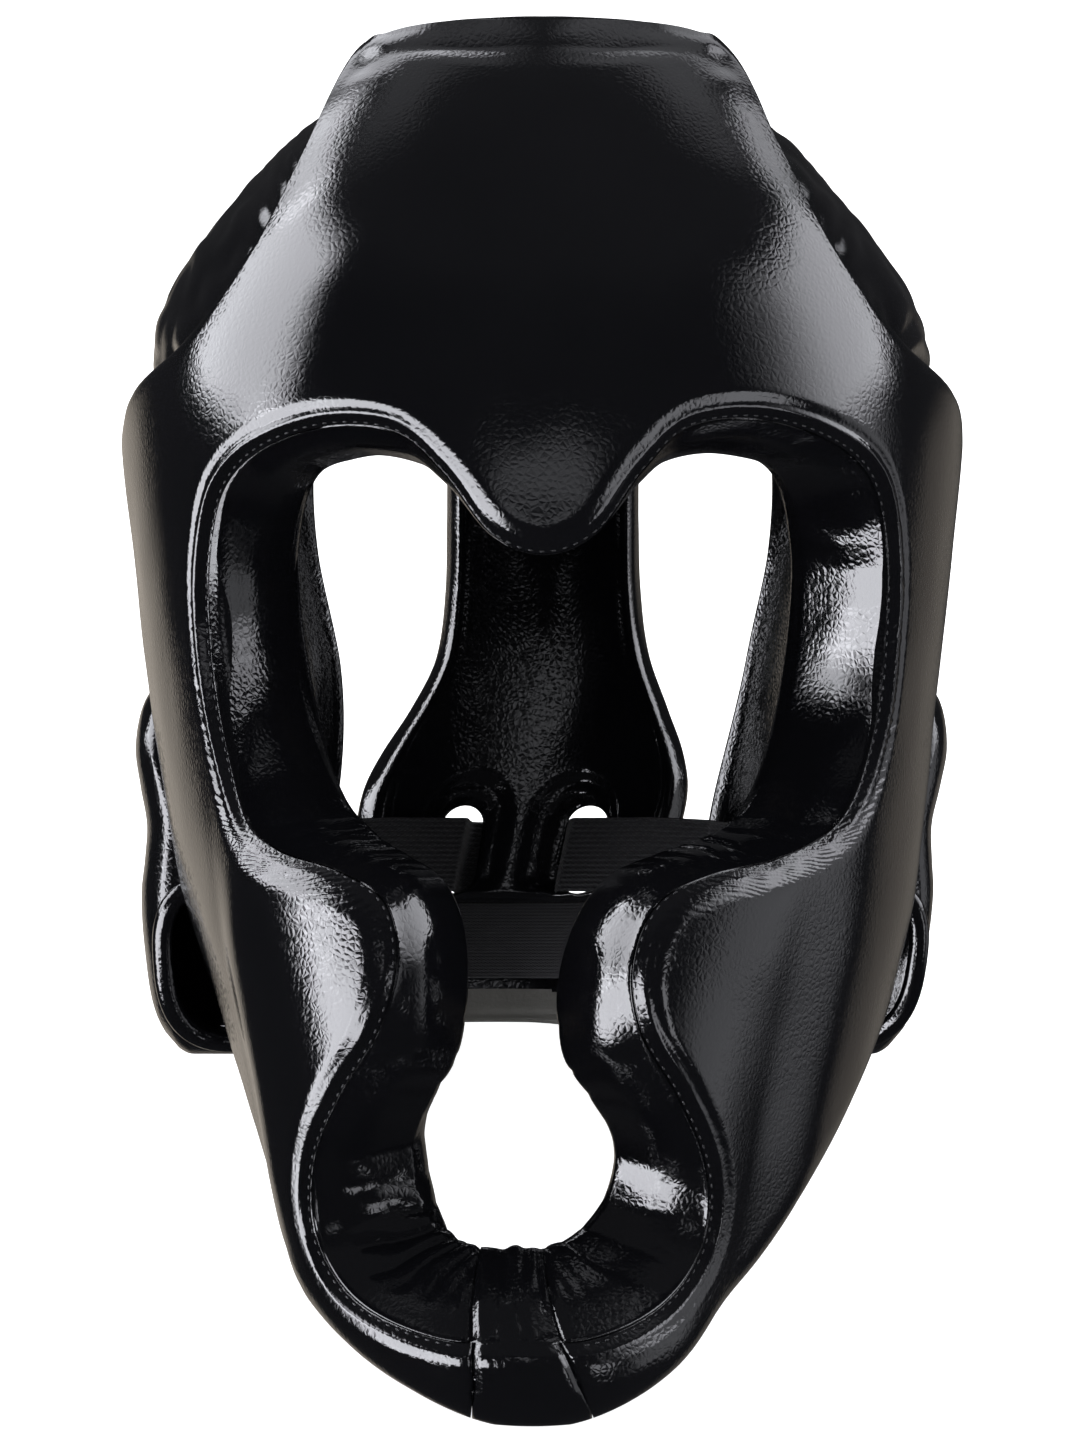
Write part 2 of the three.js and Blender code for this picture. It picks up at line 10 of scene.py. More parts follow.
import bmesh
import bpy
import numpy as np
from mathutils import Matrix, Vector, kdtree, noise


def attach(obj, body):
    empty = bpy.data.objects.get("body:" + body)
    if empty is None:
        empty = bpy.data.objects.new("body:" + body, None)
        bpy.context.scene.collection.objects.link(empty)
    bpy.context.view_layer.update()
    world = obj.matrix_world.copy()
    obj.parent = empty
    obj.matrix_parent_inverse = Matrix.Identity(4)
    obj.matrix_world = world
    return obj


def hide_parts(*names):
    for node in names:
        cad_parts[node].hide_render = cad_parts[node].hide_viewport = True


bl_info = {
    "name": "Full Face Sparring Headgear",
    "version": (1, 0, 0),
    "blender": (4, 5, 0),
    "location": "View3D > Sidebar > Headgear",
    "description": "Padded leather headgear with elastic bands, built around its frame",
    "category": "Object",
}

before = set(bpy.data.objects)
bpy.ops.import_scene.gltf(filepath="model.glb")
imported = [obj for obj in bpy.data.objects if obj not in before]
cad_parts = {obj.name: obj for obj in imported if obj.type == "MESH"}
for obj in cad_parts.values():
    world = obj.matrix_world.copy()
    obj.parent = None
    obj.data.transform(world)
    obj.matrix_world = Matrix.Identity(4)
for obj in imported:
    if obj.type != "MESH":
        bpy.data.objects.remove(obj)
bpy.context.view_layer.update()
MM_PER_METRE = 1000
MERGE_DISTANCE = 2e-6


def table(columns, rows):
    """Rows of numbers as one array for each named column."""
    return dict(zip(columns.split(), np.array(rows, float).T))


# Outer surface of the face padding: at each height the half width, the y of its front and of its widest
# point, and the power of its rounded section.
FACE_FORM = table("z half front mid power", [
    (-160, 48, -122, -27, 2.0),
    (-135, 59.2, -134, -22, 2.0),
    (-110, 66.4, -138, -16, 2.05),
    (-80, 74, -138, -10, 2.1),
    (-40, 84.8, -134, -4, 2.2),
    (0, 91, -128, 0, 2.3),
    (40, 95.8, -124, 2, 2.4),
    (75, 98.5, -121, 4, 2.4),
    (105, 92, -114, 6, 2.35),
    (130, 80, -100, 8, 2.3),
    (150, 66, -82, 10, 2.3),
    (170, 48, -56, 10, 2.3),
])
FACE_BACK = 110

# Sections of the face padding from the dip of the brow to the chin: the seam of the opening at x, z, the lean
# and swell of the wall inside it, and the angle and height of the pad's outline.
FACE_SECTIONS = table("x z spill bulge angle edge", [
    (0, 35.3, -6, 1, 0, 161.5),
    (10.5, 40, -3, 1.5, 8, 161),
    (20, 53.5, 2, 2.5, 18, 160),
    (30, 63.5, 5, 3.5, 28, 157),
    (46, 67, 5.5, 4, 35, 149),
    (62, 62.3, 3, 4, 38, 131),
    (71.5, 52, -2, 2.4, 44, 107),
    (74.5, 36, -6, 1.4, 57, 86),
    (74, 18, -7, 1.2, 78, 73),
    (71.3, -3, -5, 1.6, 95, 46),
    (65.5, -20.5, -1, 3.6, 96, 4),
    (55, -29, 2, 4.5, 92, -28),
    (41, -32.7, 3, 5, 87, -47),
    (30.5, -38, 6, 5, 83, -57),
    (26.3, -49.5, 8, 5, 79, -66),
    (28.5, -63, 7, 5, 74, -77),
    (36, -77, 2, 5, 67, -90),
    (41.5, -92, -2, 4.5, 59, -104),
    (41, -107.5, 2, 4, 50, -121),
    (33, -119, 8, 4, 36, -136),
    (17, -125.3, 13, 4, 18, -145),
    (0, -126, 14, 4, 0, -148),
])
LAST_SECTION = len(FACE_SECTIONS["x"]) - 1
ODD_COLUMNS = ("x", "angle")
# Thickness of the pad at the seam and at its outline, and the power of its rounded outline.
PAD_SEAM, PAD_EDGE, PAD_POWER = 30.0, 24.0, 2.6
# Largest rounding of the outline, and the start of the inner face and its limit, as shares of a section.
ROUND_LIMIT, BACK_SHARE, BACK_LIMIT = 0.6, 1.3, 0.7
# Radius of the pad's outline at sections from the brow to the chin.
PAD_ROUND = table("section radius", [(0, 7), (3, 5), (4, 4.5), (6, 5), (8, 8), (11, 12), (21, 12)])
# Change of the angle and height of the pad's outline, at sections from the brow to the chin.
EDGE_TRIM = table("section angle edge", [
    (0, 0, -3.5), (1, 0, -3.5), (2, 0, -3.3), (3, 0, -2.2), (3.5, 0, 0.4), (4, 0, 2.2), (4.5, -1.4, 1),
    (5, -3.2, 0), (6, -6.3, 0), (7, -6.4, 0), (8, -1, 0), (9, 0, 0), (21, 0, 0),
])
# How far the seam of the opening lies outside its even line, at sections from the left of the chin over
# the brow to the right of the chin.
SEAM_TRIM = table("section out", [
    (-21, 0), (-18, 2), (-15, 0), (-13, -2), (-12, -2.5), (-11, -2.5), (-10, -1.5), (-8, 0), (-6.5, -1),
    (-5, -4), (-4, -4.5), (-3, -3), (-1.5, -1), (0, 0), (1.5, -1), (3, -2), (4, -3), (5, -2), (6, 1),
    (7, 2.3), (9, 2.5), (10, 1.5), (11, -0.5), (12, -1.5), (13, -1.5), (15, 0), (18, 2), (21, 0),
])
# Depth of the seam below the pad, and how far the root of the wall lies outside it.
LIP_DROP, ROLL_SETBACK = 3.0, 13.0
# Gusset of the chin: its half width at a height, and how much it widens below.
CHIN_INNER, CHIN_INNER_Z, CHIN_FLARE = 6.5, -110.0, 0.18
# Gap between pieces that are sewn together.
GAP = 0.3
# Small steps: along the seam in sections, and over the face form in radians and millimetres.
SEAM_STEP, ANGLE_STEP, HEIGHT_STEP = 0.02, 1e-3, 1e-2
# Halvings of a search between two limits.
HALVINGS = 26

# Soft hood behind the face pad: its crown and, at each height below its widest line, its half width and back.
HOOD_Y, HOOD_Z, HOOD_HALF, HOOD_FRONT, HOOD_TOP, HOOD_POWER = 5.0, 60.0, 100.0, 108.0, 105.0, 2.1
HOOD_THICK = 12.0
HOOD_LOW = table("z half back", [
    (-90, 72, 112), (-50, 80, 117), (-20, 86, 120), (10, 92, 122), (60, 100, 124),
])

# Side panels from the lower edge up: the section of the face pad where a row starts, the point of the rear
# edge where it ends, and its outward swell.
WING = table("section x y z swell", [
    (13.2, 60, 79, -82, 0),
    (12.3, 57, 90, -60, 0),
    (11.2, 56, 97, -39, 0),
    (10.6, 56, 101, -16, 0),
    (9.8, 60, 103, 14, 0),
    (9.1, 66, 101, 44, 2),
    (8.4, 66, 99, 70, 7),
    (7.5, 61, 97, 92, 13),
    (6.5, 54, 94, 110, 14.5),
    (5.5, 45, 89, 127, 11.5),
    (4.6, 36, 83, 140, 2.5),
])
LAST_ROW = len(WING["x"]) - 1
# Where the panels start on the face pad, and the step back that gives their direction there.
WING_START_SHARE, WING_START_LIFT, WING_START_STEP = 0.93, -0.15, 0.03
# Reach of their curve, the lean of their swell to the front, and the height from which they face upwards.
WING_REACH, SWELL_LEAN, WING_UP = 0.8, 0.7, 40
# Half height and half length of the oval that their rear edge lies on.
WING_UP_REACH, WING_BACK_REACH = 125, 124
WING_FULLNESS = {"left": 0.95, "right": 0.84}
# Where the panels meet the crown strap, and how far they keep their slope on the way there.
CROWN_EDGE_FRONT, CROWN_EDGE_REAR, CROWN_RISE = math.radians(-36), math.radians(34), 0.6

# Rear pad: half width at each height, and the crown strap above it.
REAR_FLARE = table("z half", [
    (-49, 33), (-41, 41), (-30, 44.5), (-18, 45), (-8, 42), (4, 36), (18, 30), (36, 27.5), (56, 27),
])
REAR_BOTTOM = -48.6
STRAP_FRONT = math.radians(-38.5)
STRAP_HALF = 27.0
SLOT_X, SLOT_Z, SLOT_WIDTH, SLOT_HEIGHT = 16.8, -33.8, 11.0, 23.6

# Bands: top, bottom, thickness, rounding of the edges, columns of points, shares of the side panels at their
# sewn ends, and places across the back.
BAND_THICK, STRAP_THICK, ELASTIC_ROUND = 1.8, 7.0, 0.7
REAR_BAND = {
    "top": -26.4, "bottom": -46.2, "thick": BAND_THICK, "round": ELASTIC_ROUND, "columns": 100,
    "shares": (0.74, 0.82, 0.9, 0.97),
    "places": (44, 36, 29, 25, 22, 20, 18, 16, 14, 12, 9, 4),
}
NAPE_BAND = {
    "top": -48.4, "bottom": -68.8, "thick": BAND_THICK, "round": ELASTIC_ROUND, "columns": 140,
    "shares": (0.8, 0.88, 0.96),
    "places": (42, 35, 28, 21, 14, 7),
}
NAPE_STRAP = {
    "top": -54.0, "bottom": -82.0, "thick": STRAP_THICK, "round": 3.4, "columns": 60,
    "shares": (0.72, 0.8, 0.88, 0.96),
    "places": (48, 40, 32, 24, 16, 8),
}
# Depths of the bands below the hood: inside the side panels, outside the rear pad and at the nape's middle.
BAND_INNER, BAND_OUTER, NAPE_MIDDLE = 12.4, -1.6, 3.0
# The x over which the ribbed band passes through a slot, and over which the woven one leaves the rear pad.
SLOT_RAMP, NAPE_RAMP = (SLOT_X - 6.0, SLOT_X + 1.5), (6, 52)
# Steps of a band between its places, and the least thickness of its edges as a share.
BAND_STEPS, BAND_THIN = 8, 0.15
# Fine ribs of the woven elastic: their depth, and how many there are for each rib of the other one.
FINE_RIB_DEPTH, FINE_RIB_SHARE = 0.14, 1.6
# Groove along both edges of the strap: its depth, and its place and width as shares of the strap's height.
STRAP_GROOVE, STRAP_GROOVE_PLACE, STRAP_GROOVE_WIDTH = 0.4, 0.14, 0.035
# Lining of the nape strap: how far it reaches to each side and up, in metres, and how far it faces the head.
# Above its top the strap's inner face stays black leather, standing for a bound top edge with the painted
# shadow of the woven band over it.
LINING_REACH, LINING_TOP_BELOW_SHADED_EDGE, LINING_FACING = 0.06, 0.0085, -0.3

# Ear cups: the middle and reach of their oval, its power, the wall outside the scoop, and the depth of the
# rounded border and of the whole cup.
EAR_Y, EAR_Z, EAR_REACH_Y, EAR_REACH_Z = 27.0, -33.5, 33.0, 47.0
EAR_POWER, EAR_WALL, EAR_ROUND, EAR_DEPTH = 2.9, 5.0, 8, 22
# The x of the outer face of an ear cup at each height: an upper lobe, a waist and the swell round the scoop.
EAR_SIDE = table("z x", [
    (-90, 87.5), (-82, 90), (-70, 92.6), (-55, 94.2), (-40, 95.2), (-32, 94.6), (-24, 94.4), (-15, 96.4),
    (-6, 98.4), (4, 98.4), (12, 97),
])
SCOOP_TOP, SCOOP_BOTTOM, SCOOP_FRONT, SCOOP_BACK = -38.0, -76.0, -70.0, 48.0
SCOOP_HALF_DEPTH, SCOOP_POWER_DEPTH, SCOOP_POWER_Z = 16, 3.2, 2.6
SCOOP_RIM_OUT, SCOOP_RIM_RADIUS = 0.4, 2.4

# The stand: two places where the floor meets the head frame, the sideways lean below the eyes, its share at
# each y and near the chin, and the middle of the box.
CHIN_Y, CHIN_Z, NAPE_Y, NAPE_Z = -105.0, -138.0, 121.0, -80.0
LEAN_REACH, LEAN_FROM, LEAN_TO = -6.0, 20.0, -70.0
LEAN_SHARE = table("y share", [
    (-160, 1), (-104, 1), (-84, 0.1), (-45, -0.4), (-15, -0.1), (10, 0.35), (40, 0.5), (95, 1.9), (170, 1.9),
])
LEAN_CHIN = table("z share", [(-150, 0.3), (-138, 0.4), (-118, 1), (0, 1)])
FLOOR_SLOPE = (NAPE_Z - CHIN_Z) / (NAPE_Y - CHIN_Y)
TILT = math.atan(FLOOR_SLOPE)
FLOOR_DROP = math.cos(TILT) * CHIN_Z - math.sin(TILT) * CHIN_Y
BOX_MIDDLE = (-0.2255, -10.1835)

# The photograph's view: the eye's distance in front of the head, and the focal length in pixels.
EYE_DISTANCE, FOCAL_PIXELS, PHOTO_HEIGHT, SENSOR = 900.0, 3780.0, 1448.0, 36.0


class HeadgearSizes(bpy.types.PropertyGroup):
    """Sizes of the sewn details."""
    ridge: bpy.props.FloatProperty(
        name="Seam ridge", description="Height of the rolled ridge beside the seam of the opening",
        default=0.0010, unit="LENGTH")
    valley: bpy.props.FloatProperty(
        name="Stitched valley", description="Depth of the valley outside the ridge",
        default=0.0006, unit="LENGTH")
    pucker: bpy.props.FloatProperty(
        name="Puckers", description="Depth of the fine puckers at the corners of the eyes",
        default=0.00015, unit="LENGTH")
    hem_width: bpy.props.FloatProperty(
        name="Hem width", description="Width of the rolled hem along the top of the forehead",
        default=0.0105, unit="LENGTH")
    hem_depth: bpy.props.FloatProperty(
        name="Hem crease", description="Depth of the crease below the hem", default=0.0024, unit="LENGTH")
    wrinkle: bpy.props.FloatProperty(
        name="Wrinkles", description="Depth of the wrinkles of the side panels",
        default=0.0022, unit="LENGTH")
    swell: bpy.props.FloatProperty(
        name="Unevenness", description="Soft unevenness of the padding", default=0.0004, unit="LENGTH")
    stitch_length: bpy.props.FloatProperty(
        name="Stitch length", description="Length of one stitch", default=0.0011, unit="LENGTH")
    stitch_pitch: bpy.props.FloatProperty(
        name="Stitch pitch", description="Distance between stitches", default=0.0024, unit="LENGTH")
    stitch_width: bpy.props.FloatProperty(
        name="Thread width", description="Width of the thread", default=0.00042, unit="LENGTH")
    rib_count: bpy.props.IntProperty(
        name="Elastic ribs", description="Ribs across the height of the ribbed elastic", default=15)
    rib_depth: bpy.props.FloatProperty(
        name="Rib depth", description="Depth of the ribs of the elastic", default=0.0005, unit="LENGTH")


class HeadgearFinish(bpy.types.PropertyGroup):
    """Colours and grain of the materials."""
    leather: bpy.props.FloatVectorProperty(
        name="Leather", description="Colour of the black leather", subtype="COLOR",
        default=(0.0012, 0.0013, 0.0017))
    leather_worn: bpy.props.FloatVectorProperty(
        name="Leather, paler", description="Colour of its paler cloud", subtype="COLOR",
        default=(0.0026, 0.0026, 0.0032))
    elastic: bpy.props.FloatVectorProperty(
        name="Elastic", description="Colour of the elastic", subtype="COLOR", default=(0.005, 0.005, 0.0055))
    lining: bpy.props.FloatVectorProperty(
        name="Lining", description="Colour of the lining of the nape strap", subtype="COLOR",
        default=(0.034, 0.033, 0.029))
    thread: bpy.props.FloatVectorProperty(
        name="Thread", description="Colour of the sewing thread", subtype="COLOR",
        default=(0.008, 0.008, 0.009))
    grain: bpy.props.FloatProperty(
        name="Grain size", description="Size of one pebble of the leather grain",
        default=0.0014, unit="LENGTH")
    roughness: bpy.props.FloatProperty(
        name="Leather roughness", description="Mean roughness of the leather", subtype="FACTOR", default=0.1)


class HeadgearStudio(bpy.types.PropertyGroup):
    """Floor and lights."""
    floor: bpy.props.FloatVectorProperty(
        name="Floor", description="Colour of the floor", subtype="COLOR", default=(0.86, 0.86, 0.87))
    floor_glow: bpy.props.FloatProperty(
        name="Floor glow", description="Light from below the floor", default=0.9)
    left_power: bpy.props.FloatProperty(
        name="Left light", description="Power of the left light in watts", default=10.0)
    right_power: bpy.props.FloatProperty(
        name="Right light", description="Power of the right light", default=8.0)
    front_power: bpy.props.FloatProperty(
        name="Front light", description="Power of the front light", default=6.0)
    surround: bpy.props.FloatProperty(name="Surround", description="Brightness of the pale room", default=1.0)
    gloom: bpy.props.FloatProperty(
        name="Gloom", description="Brightness of the dim room in reflections", default=0.03)
    cool: bpy.props.FloatVectorProperty(
        name="Cool light", description="Colour of the light panels", subtype="COLOR",
        default=(0.93, 0.94, 1.0))
    warm: bpy.props.FloatVectorProperty(
        name="Far wall", description="Colour of the far wall in reflections", subtype="COLOR",
        default=(1.0, 0.89, 0.76))


def mm(length):
    """Millimetres of a length in metres."""
    return length * MM_PER_METRE


def lerp(a, b, share):
    return a + (b - a) * share


def smoothstep(value, low=0.0, high=1.0):
    t = np.clip((value - low) / (high - low), 0, 1)
    return t * t * (3 - 2 * t)


def bell(value, width):
    """Bell curve that is 1 at zero and falls off over a width."""
    return np.exp(-(value / width) ** 2)


def signed_power(value, power):
    return np.sign(value) * np.abs(value) ** power


def unit(vectors):
    return vectors / np.maximum(np.linalg.norm(vectors, axis=-1, keepdims=True), 1e-9)


def soft_noise(points, size, seed=0.0):
    """Smooth noise from -1 to 1 at each point, with lumps of about a size, one or three numbers."""
    places = (points / np.asarray(size, float) + seed).reshape(-1, 3)
    return np.array([noise.noise(Vector(p)) for p in places]).reshape(points.shape[:-1])


def cubic(a, b, c, d, share):
    """Cubic through four neighbouring values, at a share of the way from the second to the third."""
    rise = (c - a) / 2
    fall = (d - b) / 2
    return b + share * (rise + share * (3 * (c - b) - 2 * rise - fall + share * (2 * (b - c) + rise + fall)))


def read_table(rows, column, at):
    """One column of a table, read smoothly at values of its first column."""
    keys, values = next(iter(rows.values())), rows[column]
    k = np.minimum(np.searchsorted(keys[1:], at), len(keys) - 2)
    index = np.arange(len(keys))
    before, after = np.maximum(index - 1, 0), np.minimum(index + 1, len(keys) - 1)
    slopes = (values[after] - values[before]) / (keys[after] - keys[before])
    span = keys[k + 1] - keys[k]
    t = np.clip((at - keys[k]) / span, 0, 1)
    m, n = slopes[k] * span, slopes[k + 1] * span
    step = values[k + 1] - values[k]
    return values[k] + t * (m + t * (3 * step - 2 * m - n + t * (m + n - 2 * step)))


def read_columns(rows, at):
    """Every column of a table after its first, read smoothly at values of the first."""
    return [read_table(rows, column, at) for column in list(rows)[1:]]


def face_point(angle, z):
    """Point of the face form at an angle around the head and a height."""
    angle, z = np.broadcast_arrays(np.asarray(angle, float), np.asarray(z, float))
    half, front, mid, power = read_columns(FACE_FORM, z)
    across = signed_power(np.sin(angle), 2 / power)
    ahead = signed_power(np.cos(angle), 2 / power)
    reach = np.where(ahead > 0, mid - front, FACE_BACK)
    return np.stack([half * across, mid - reach * ahead, z], axis=-1)


def normal_of(surface, a, b, step_a, step_b):
    """Normal of a surface given by two numbers, from small steps along each."""
    along_a = surface(a + step_a, b) - surface(a - step_a, b)
    along_b = surface(a, b + step_b) - surface(a, b - step_b)
    return unit(np.cross(along_a, along_b))


def face_row(number):
    """Columns of the face table at section numbers, which are negative on the left side of the face."""
    number = np.asarray(number, float)
    side = np.where(number < 0, -1.0, 1.0)
    at = np.minimum(np.abs(number), LAST_SECTION)
    k = np.minimum(np.floor(at).astype(int), LAST_SECTION - 1)
    row = {}
    for column, values in FACE_SECTIONS.items():
        odd = -1 if column in ODD_COLUMNS else 1
        padded = np.concatenate([[odd * values[1]], values, [odd * values[-2]]])
        found = cubic(padded[k], padded[k + 1], padded[k + 2], padded[k + 3], at - k)
        row[column] = side * found if odd < 0 else found
    return row


def angle_at(x, z):
    """Angle of the face form at which its surface has a given x."""
    half = read_table(FACE_FORM, "half", z)
    power = read_table(FACE_FORM, "power", z)
    return np.arcsin(np.clip(signed_power(x / half, power / 2), -1, 1))


def raised(angle, z, depth, lift):
    """Point of the padding: lift 1 is its outer face and lift -1 its inner face, a depth below."""
    normal = normal_of(face_point, angle, z, ANGLE_STEP, HEIGHT_STEP)
    return face_point(angle, z) + normal * (depth * (np.asarray(lift, float) - 1) / 2)[..., None]


class PadSection:
    """Sections of the face padding at an array of section numbers."""

    def __init__(self, number):
        self.number = np.asarray(number, float)
        self.row = face_row(number)
        ahead, behind = face_row(self.number + SEAM_STEP), face_row(self.number - SEAM_STEP)
        self.along = unit(np.stack([ahead["x"] - behind["x"], ahead["z"] - behind["z"]], axis=-1))
        out = read_table(SEAM_TRIM, "out", np.clip(self.number, -LAST_SECTION, LAST_SECTION))
        self.row["x"] = self.row["x"] - out * self.along[..., 1]
        self.row["z"] = self.row["z"] + out * self.along[..., 0]
        self.row["spill"] = self.row["spill"] + out
        turned, moved = read_columns(EDGE_TRIM, np.abs(self.number))
        self.row["edge"] = self.row["edge"] + moved
        self.seam_angle = angle_at(self.row["x"], self.row["z"])
        self.edge_angle = np.radians(self.row["angle"] + np.sign(self.number) * turned)
        self.length = np.interp(np.abs(self.number), *section_lengths())
        radius = read_table(PAD_ROUND, "radius", np.abs(self.number))
        self.round = np.minimum(radius, ROUND_LIMIT * self.length)
        self.flat_end = 1 - self.round / self.length
        self.back = np.minimum(BACK_SHARE * ROLL_SETBACK / self.length, BACK_LIMIT * self.flat_end)

    def place(self, share):
        """Angle and height at a share of the way from the seam to the outline."""
        return lerp(self.seam_angle, self.edge_angle, share), lerp(self.row["z"], self.row["edge"], share)

    def at(self, share, lift):
        """Point at a share of the way from the seam to the outline, and a lift from inner to outer face."""
        depth = lerp(PAD_SEAM, PAD_EDGE, smoothstep(share)) + 0 * self.length
        return raised(*self.place(share), depth, lift)

    def normal(self, share):
        return normal_of(face_point, *self.place(share), ANGLE_STEP, HEIGHT_STEP)

    def beside(self, offset, lift):
        """Point beside the seam, an offset into the opening in the front view."""
        x = self.row["x"] + offset * self.along[..., 1]
        z = self.row["z"] - offset * self.along[..., 0]
        return raised(angle_at(x, z), z, PAD_SEAM + 0 * z, lift)

    def inward(self):
        """Step into the opening for each millimetre of the front view."""
        return self.beside(0.5, 1) - self.beside(-0.5, 1)

    def seam_point(self):
        return self.at(0.0, 1) - LIP_DROP * self.normal(0.0)

    def root(self):
        stretch = np.linalg.norm(self.inward(), axis=-1)
        return self.beside(-ROLL_SETBACK / stretch, -1)


_lengths = []


def section_lengths():
    """Section numbers from the brow to the chin, and the length of the padding at each."""
    if not _lengths:
        numbers = np.linspace(0, LAST_SECTION, 8 * LAST_SECTION + 1)
        row = face_row(numbers)
        seam = angle_at(row["x"], row["z"])
        shares = np.linspace(0, 1, 13)[:, None]
        path = face_point(lerp(seam, np.radians(row["angle"]), shares), lerp(row["z"], row["edge"], shares))
        _lengths.extend([numbers, np.linalg.norm(np.diff(path, axis=0), axis=-1).sum(axis=0)])
    return _lengths


def hood_share(offset, reach):
    return np.maximum(1 - np.abs(offset / reach) ** HOOD_POWER, 0) ** (1 / HOOD_POWER)


def hood_back(z, x):
    """Point on the back of the hood at a height below its widest line and an x."""
    z, x = np.broadcast_arrays(np.asarray(z, float), np.asarray(x, float))
    half = read_table(HOOD_LOW, "half", z)
    return np.stack([x, HOOD_Y + read_table(HOOD_LOW, "back", z) * hood_share(x, half), z], axis=-1)


def hood_crown(angle, x):
    """Point on the crown of the hood at an angle from its top and an x."""
    angle, x = np.broadcast_arrays(np.asarray(angle, float), np.asarray(x, float))
    share = hood_share(x, HOOD_HALF)
    along = signed_power(np.sin(angle), 2 / HOOD_POWER)
    reach = np.where(angle < 0, HOOD_FRONT, HOOD_LOW["back"][-1])
    height = HOOD_TOP * np.abs(np.cos(angle)) ** (2 / HOOD_POWER)
    return np.stack([x, HOOD_Y + reach * along * share, HOOD_Z + height * share], axis=-1)


def to_world(points):
    """Points of the head frame, leaned back onto the floor, in metres."""
    x, y, z = np.moveaxis(np.asarray(points, float), -1, 0)
    leaned = smoothstep(LEAN_FROM - z, 0, LEAN_FROM - LEAN_TO) * read_table(LEAN_SHARE, "share", y)
    leaned = leaned * read_table(LEAN_CHIN, "share", z)
    x = x + LEAN_REACH * leaned
    z = np.maximum(z, CHIN_Z + (y - CHIN_Y) * FLOOR_SLOPE)
    c, s = math.cos(TILT), math.sin(TILT)
    stood = [x - BOX_MIDDLE[0], c * y + s * z - BOX_MIDDLE[1], -s * y + c * z - FLOOR_DROP]
    return np.stack(stood, axis=-1) / MM_PER_METRE


def closed_loops(rings, looped=False):
    """Faces of a closed surface through rings of points; open ends are closed by a ladder across the ring."""
    rows, count = rings.shape[:2]
    index = np.arange(rows * count).reshape(rows, count)
    near = index if looped else index[:-1]
    far = np.roll(index, -1, axis=0) if looped else index[1:]
    around = [near, np.roll(near, -1, axis=1), np.roll(far, -1, axis=1), far]
    quads = np.stack(around, axis=-1).reshape(-1, 4).tolist()
    if not looped:
        for end in (index[0], index[-1]):
            for k in range(count // 2 - 1):
                corners = [int(end[i]) for i in (k, k + 1, count - 2 - k, count - 1 - k)]
                quads.append(list(dict.fromkeys(corners)))
    return [face for face in quads if len(set(face)) > 2]


def mesh_object(name, parts):
    """Object of one or more closed surfaces, each given as its points in the head frame and its faces."""
    vertices = []
    faces = []
    for points, part_faces in parts:
        start = len(vertices)
        vertices.extend(to_world(points.reshape(-1, 3)).tolist())
        faces.extend([[start + k for k in face] for face in part_faces])
    mesh = bpy.data.meshes.new(name)
    mesh.from_pydata(vertices, [], faces)
    edit = bmesh.new()
    edit.from_mesh(mesh)
    bmesh.ops.remove_doubles(edit, verts=edit.verts, dist=MERGE_DISTANCE)
    bmesh.ops.recalc_face_normals(edit, faces=edit.faces)
    if edit.calc_volume(signed=True) < 0:
        bmesh.ops.reverse_faces(edit, faces=edit.faces)
    edit.to_mesh(mesh)
    edit.free()
    mesh.shade_smooth()
    piece = bpy.data.objects.new(name, mesh)
    bpy.context.scene.collection.objects.link(piece)
    return piece


def dress(piece, material, nodes=()):
    """Gives a piece its material and its place in the frame."""
    piece.data.materials.clear()
    piece.data.materials.append(material)
    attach(piece, "root")
    if nodes:
        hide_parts(*nodes)


def grid_normals(points, reference):
    """Normals of a grid of points, turned to the side of a reference direction."""
    normals = unit(np.cross(np.gradient(points, axis=0), np.gradient(points, axis=1)))
    facing = np.sign((normals * reference).sum(axis=-1, keepdims=True))
    return normals * np.where(facing == 0, 1, facing)


def round_cord(path, side, normal, radius, sides):
    """Rings and faces of a round cord along a closed path."""
    turn = np.linspace(0, 2 * np.pi, sides, endpoint=False)
    across = np.cos(turn)[None, :, None] * side[:, None, :] * radius
    above = np.sin(turn)[None, :, None] * normal[:, None, :] * radius
    rings = path[:, None, :] + across + above
    return rings, closed_loops(rings, looped=True)


# Stitches: the step in millimetres that gives their direction, their sides and rings, and the share of their
# thickness that is left at the tips, squared.
STITCH_STEP, STITCH_SIDES, STITCH_RINGS, STITCH_TIP = 0.5, 8, 7, 0.02


def stitches(path, normal, sizes):
    """Points and faces of separate stitches along a path that lies on a surface."""
    steps = np.linalg.norm(np.diff(path, axis=0), axis=-1)
    travelled = np.concatenate([[0], np.cumsum(steps)])
    pitch = mm(sizes.stitch_pitch)
    places = np.arange(pitch / 2, travelled[-1], pitch)

    def carried(values, shift=0.0):
        return np.stack([np.interp(places + shift, travelled, values[:, k]) for k in range(3)], axis=-1)

    centre, up = carried(path), unit(carried(normal))
    along = unit(carried(path, STITCH_STEP) - carried(path, -STITCH_STEP))
    side = np.cross(up, along)
    ring_turns = np.linspace(0, 2 * np.pi, STITCH_SIDES, endpoint=False)
    parts = []
    half_length, half_width = mm(sizes.stitch_length) / 2, mm(sizes.stitch_width) / 2
    lengthwise = np.linspace(-1, 1, STITCH_RINGS)
    fat = np.sqrt(np.maximum(1 - lengthwise ** 2, STITCH_TIP))[:, None, None] * half_width
    for c, a, s, u in zip(centre, along, side, up):
        rounds = np.cos(ring_turns)[None, :, None] * s + np.sin(ring_turns)[None, :, None] * u
        rings = c + lengthwise[:, None, None] * half_length * a + fat * rounds
        parts.append((rings, closed_loops(rings)))
    return parts


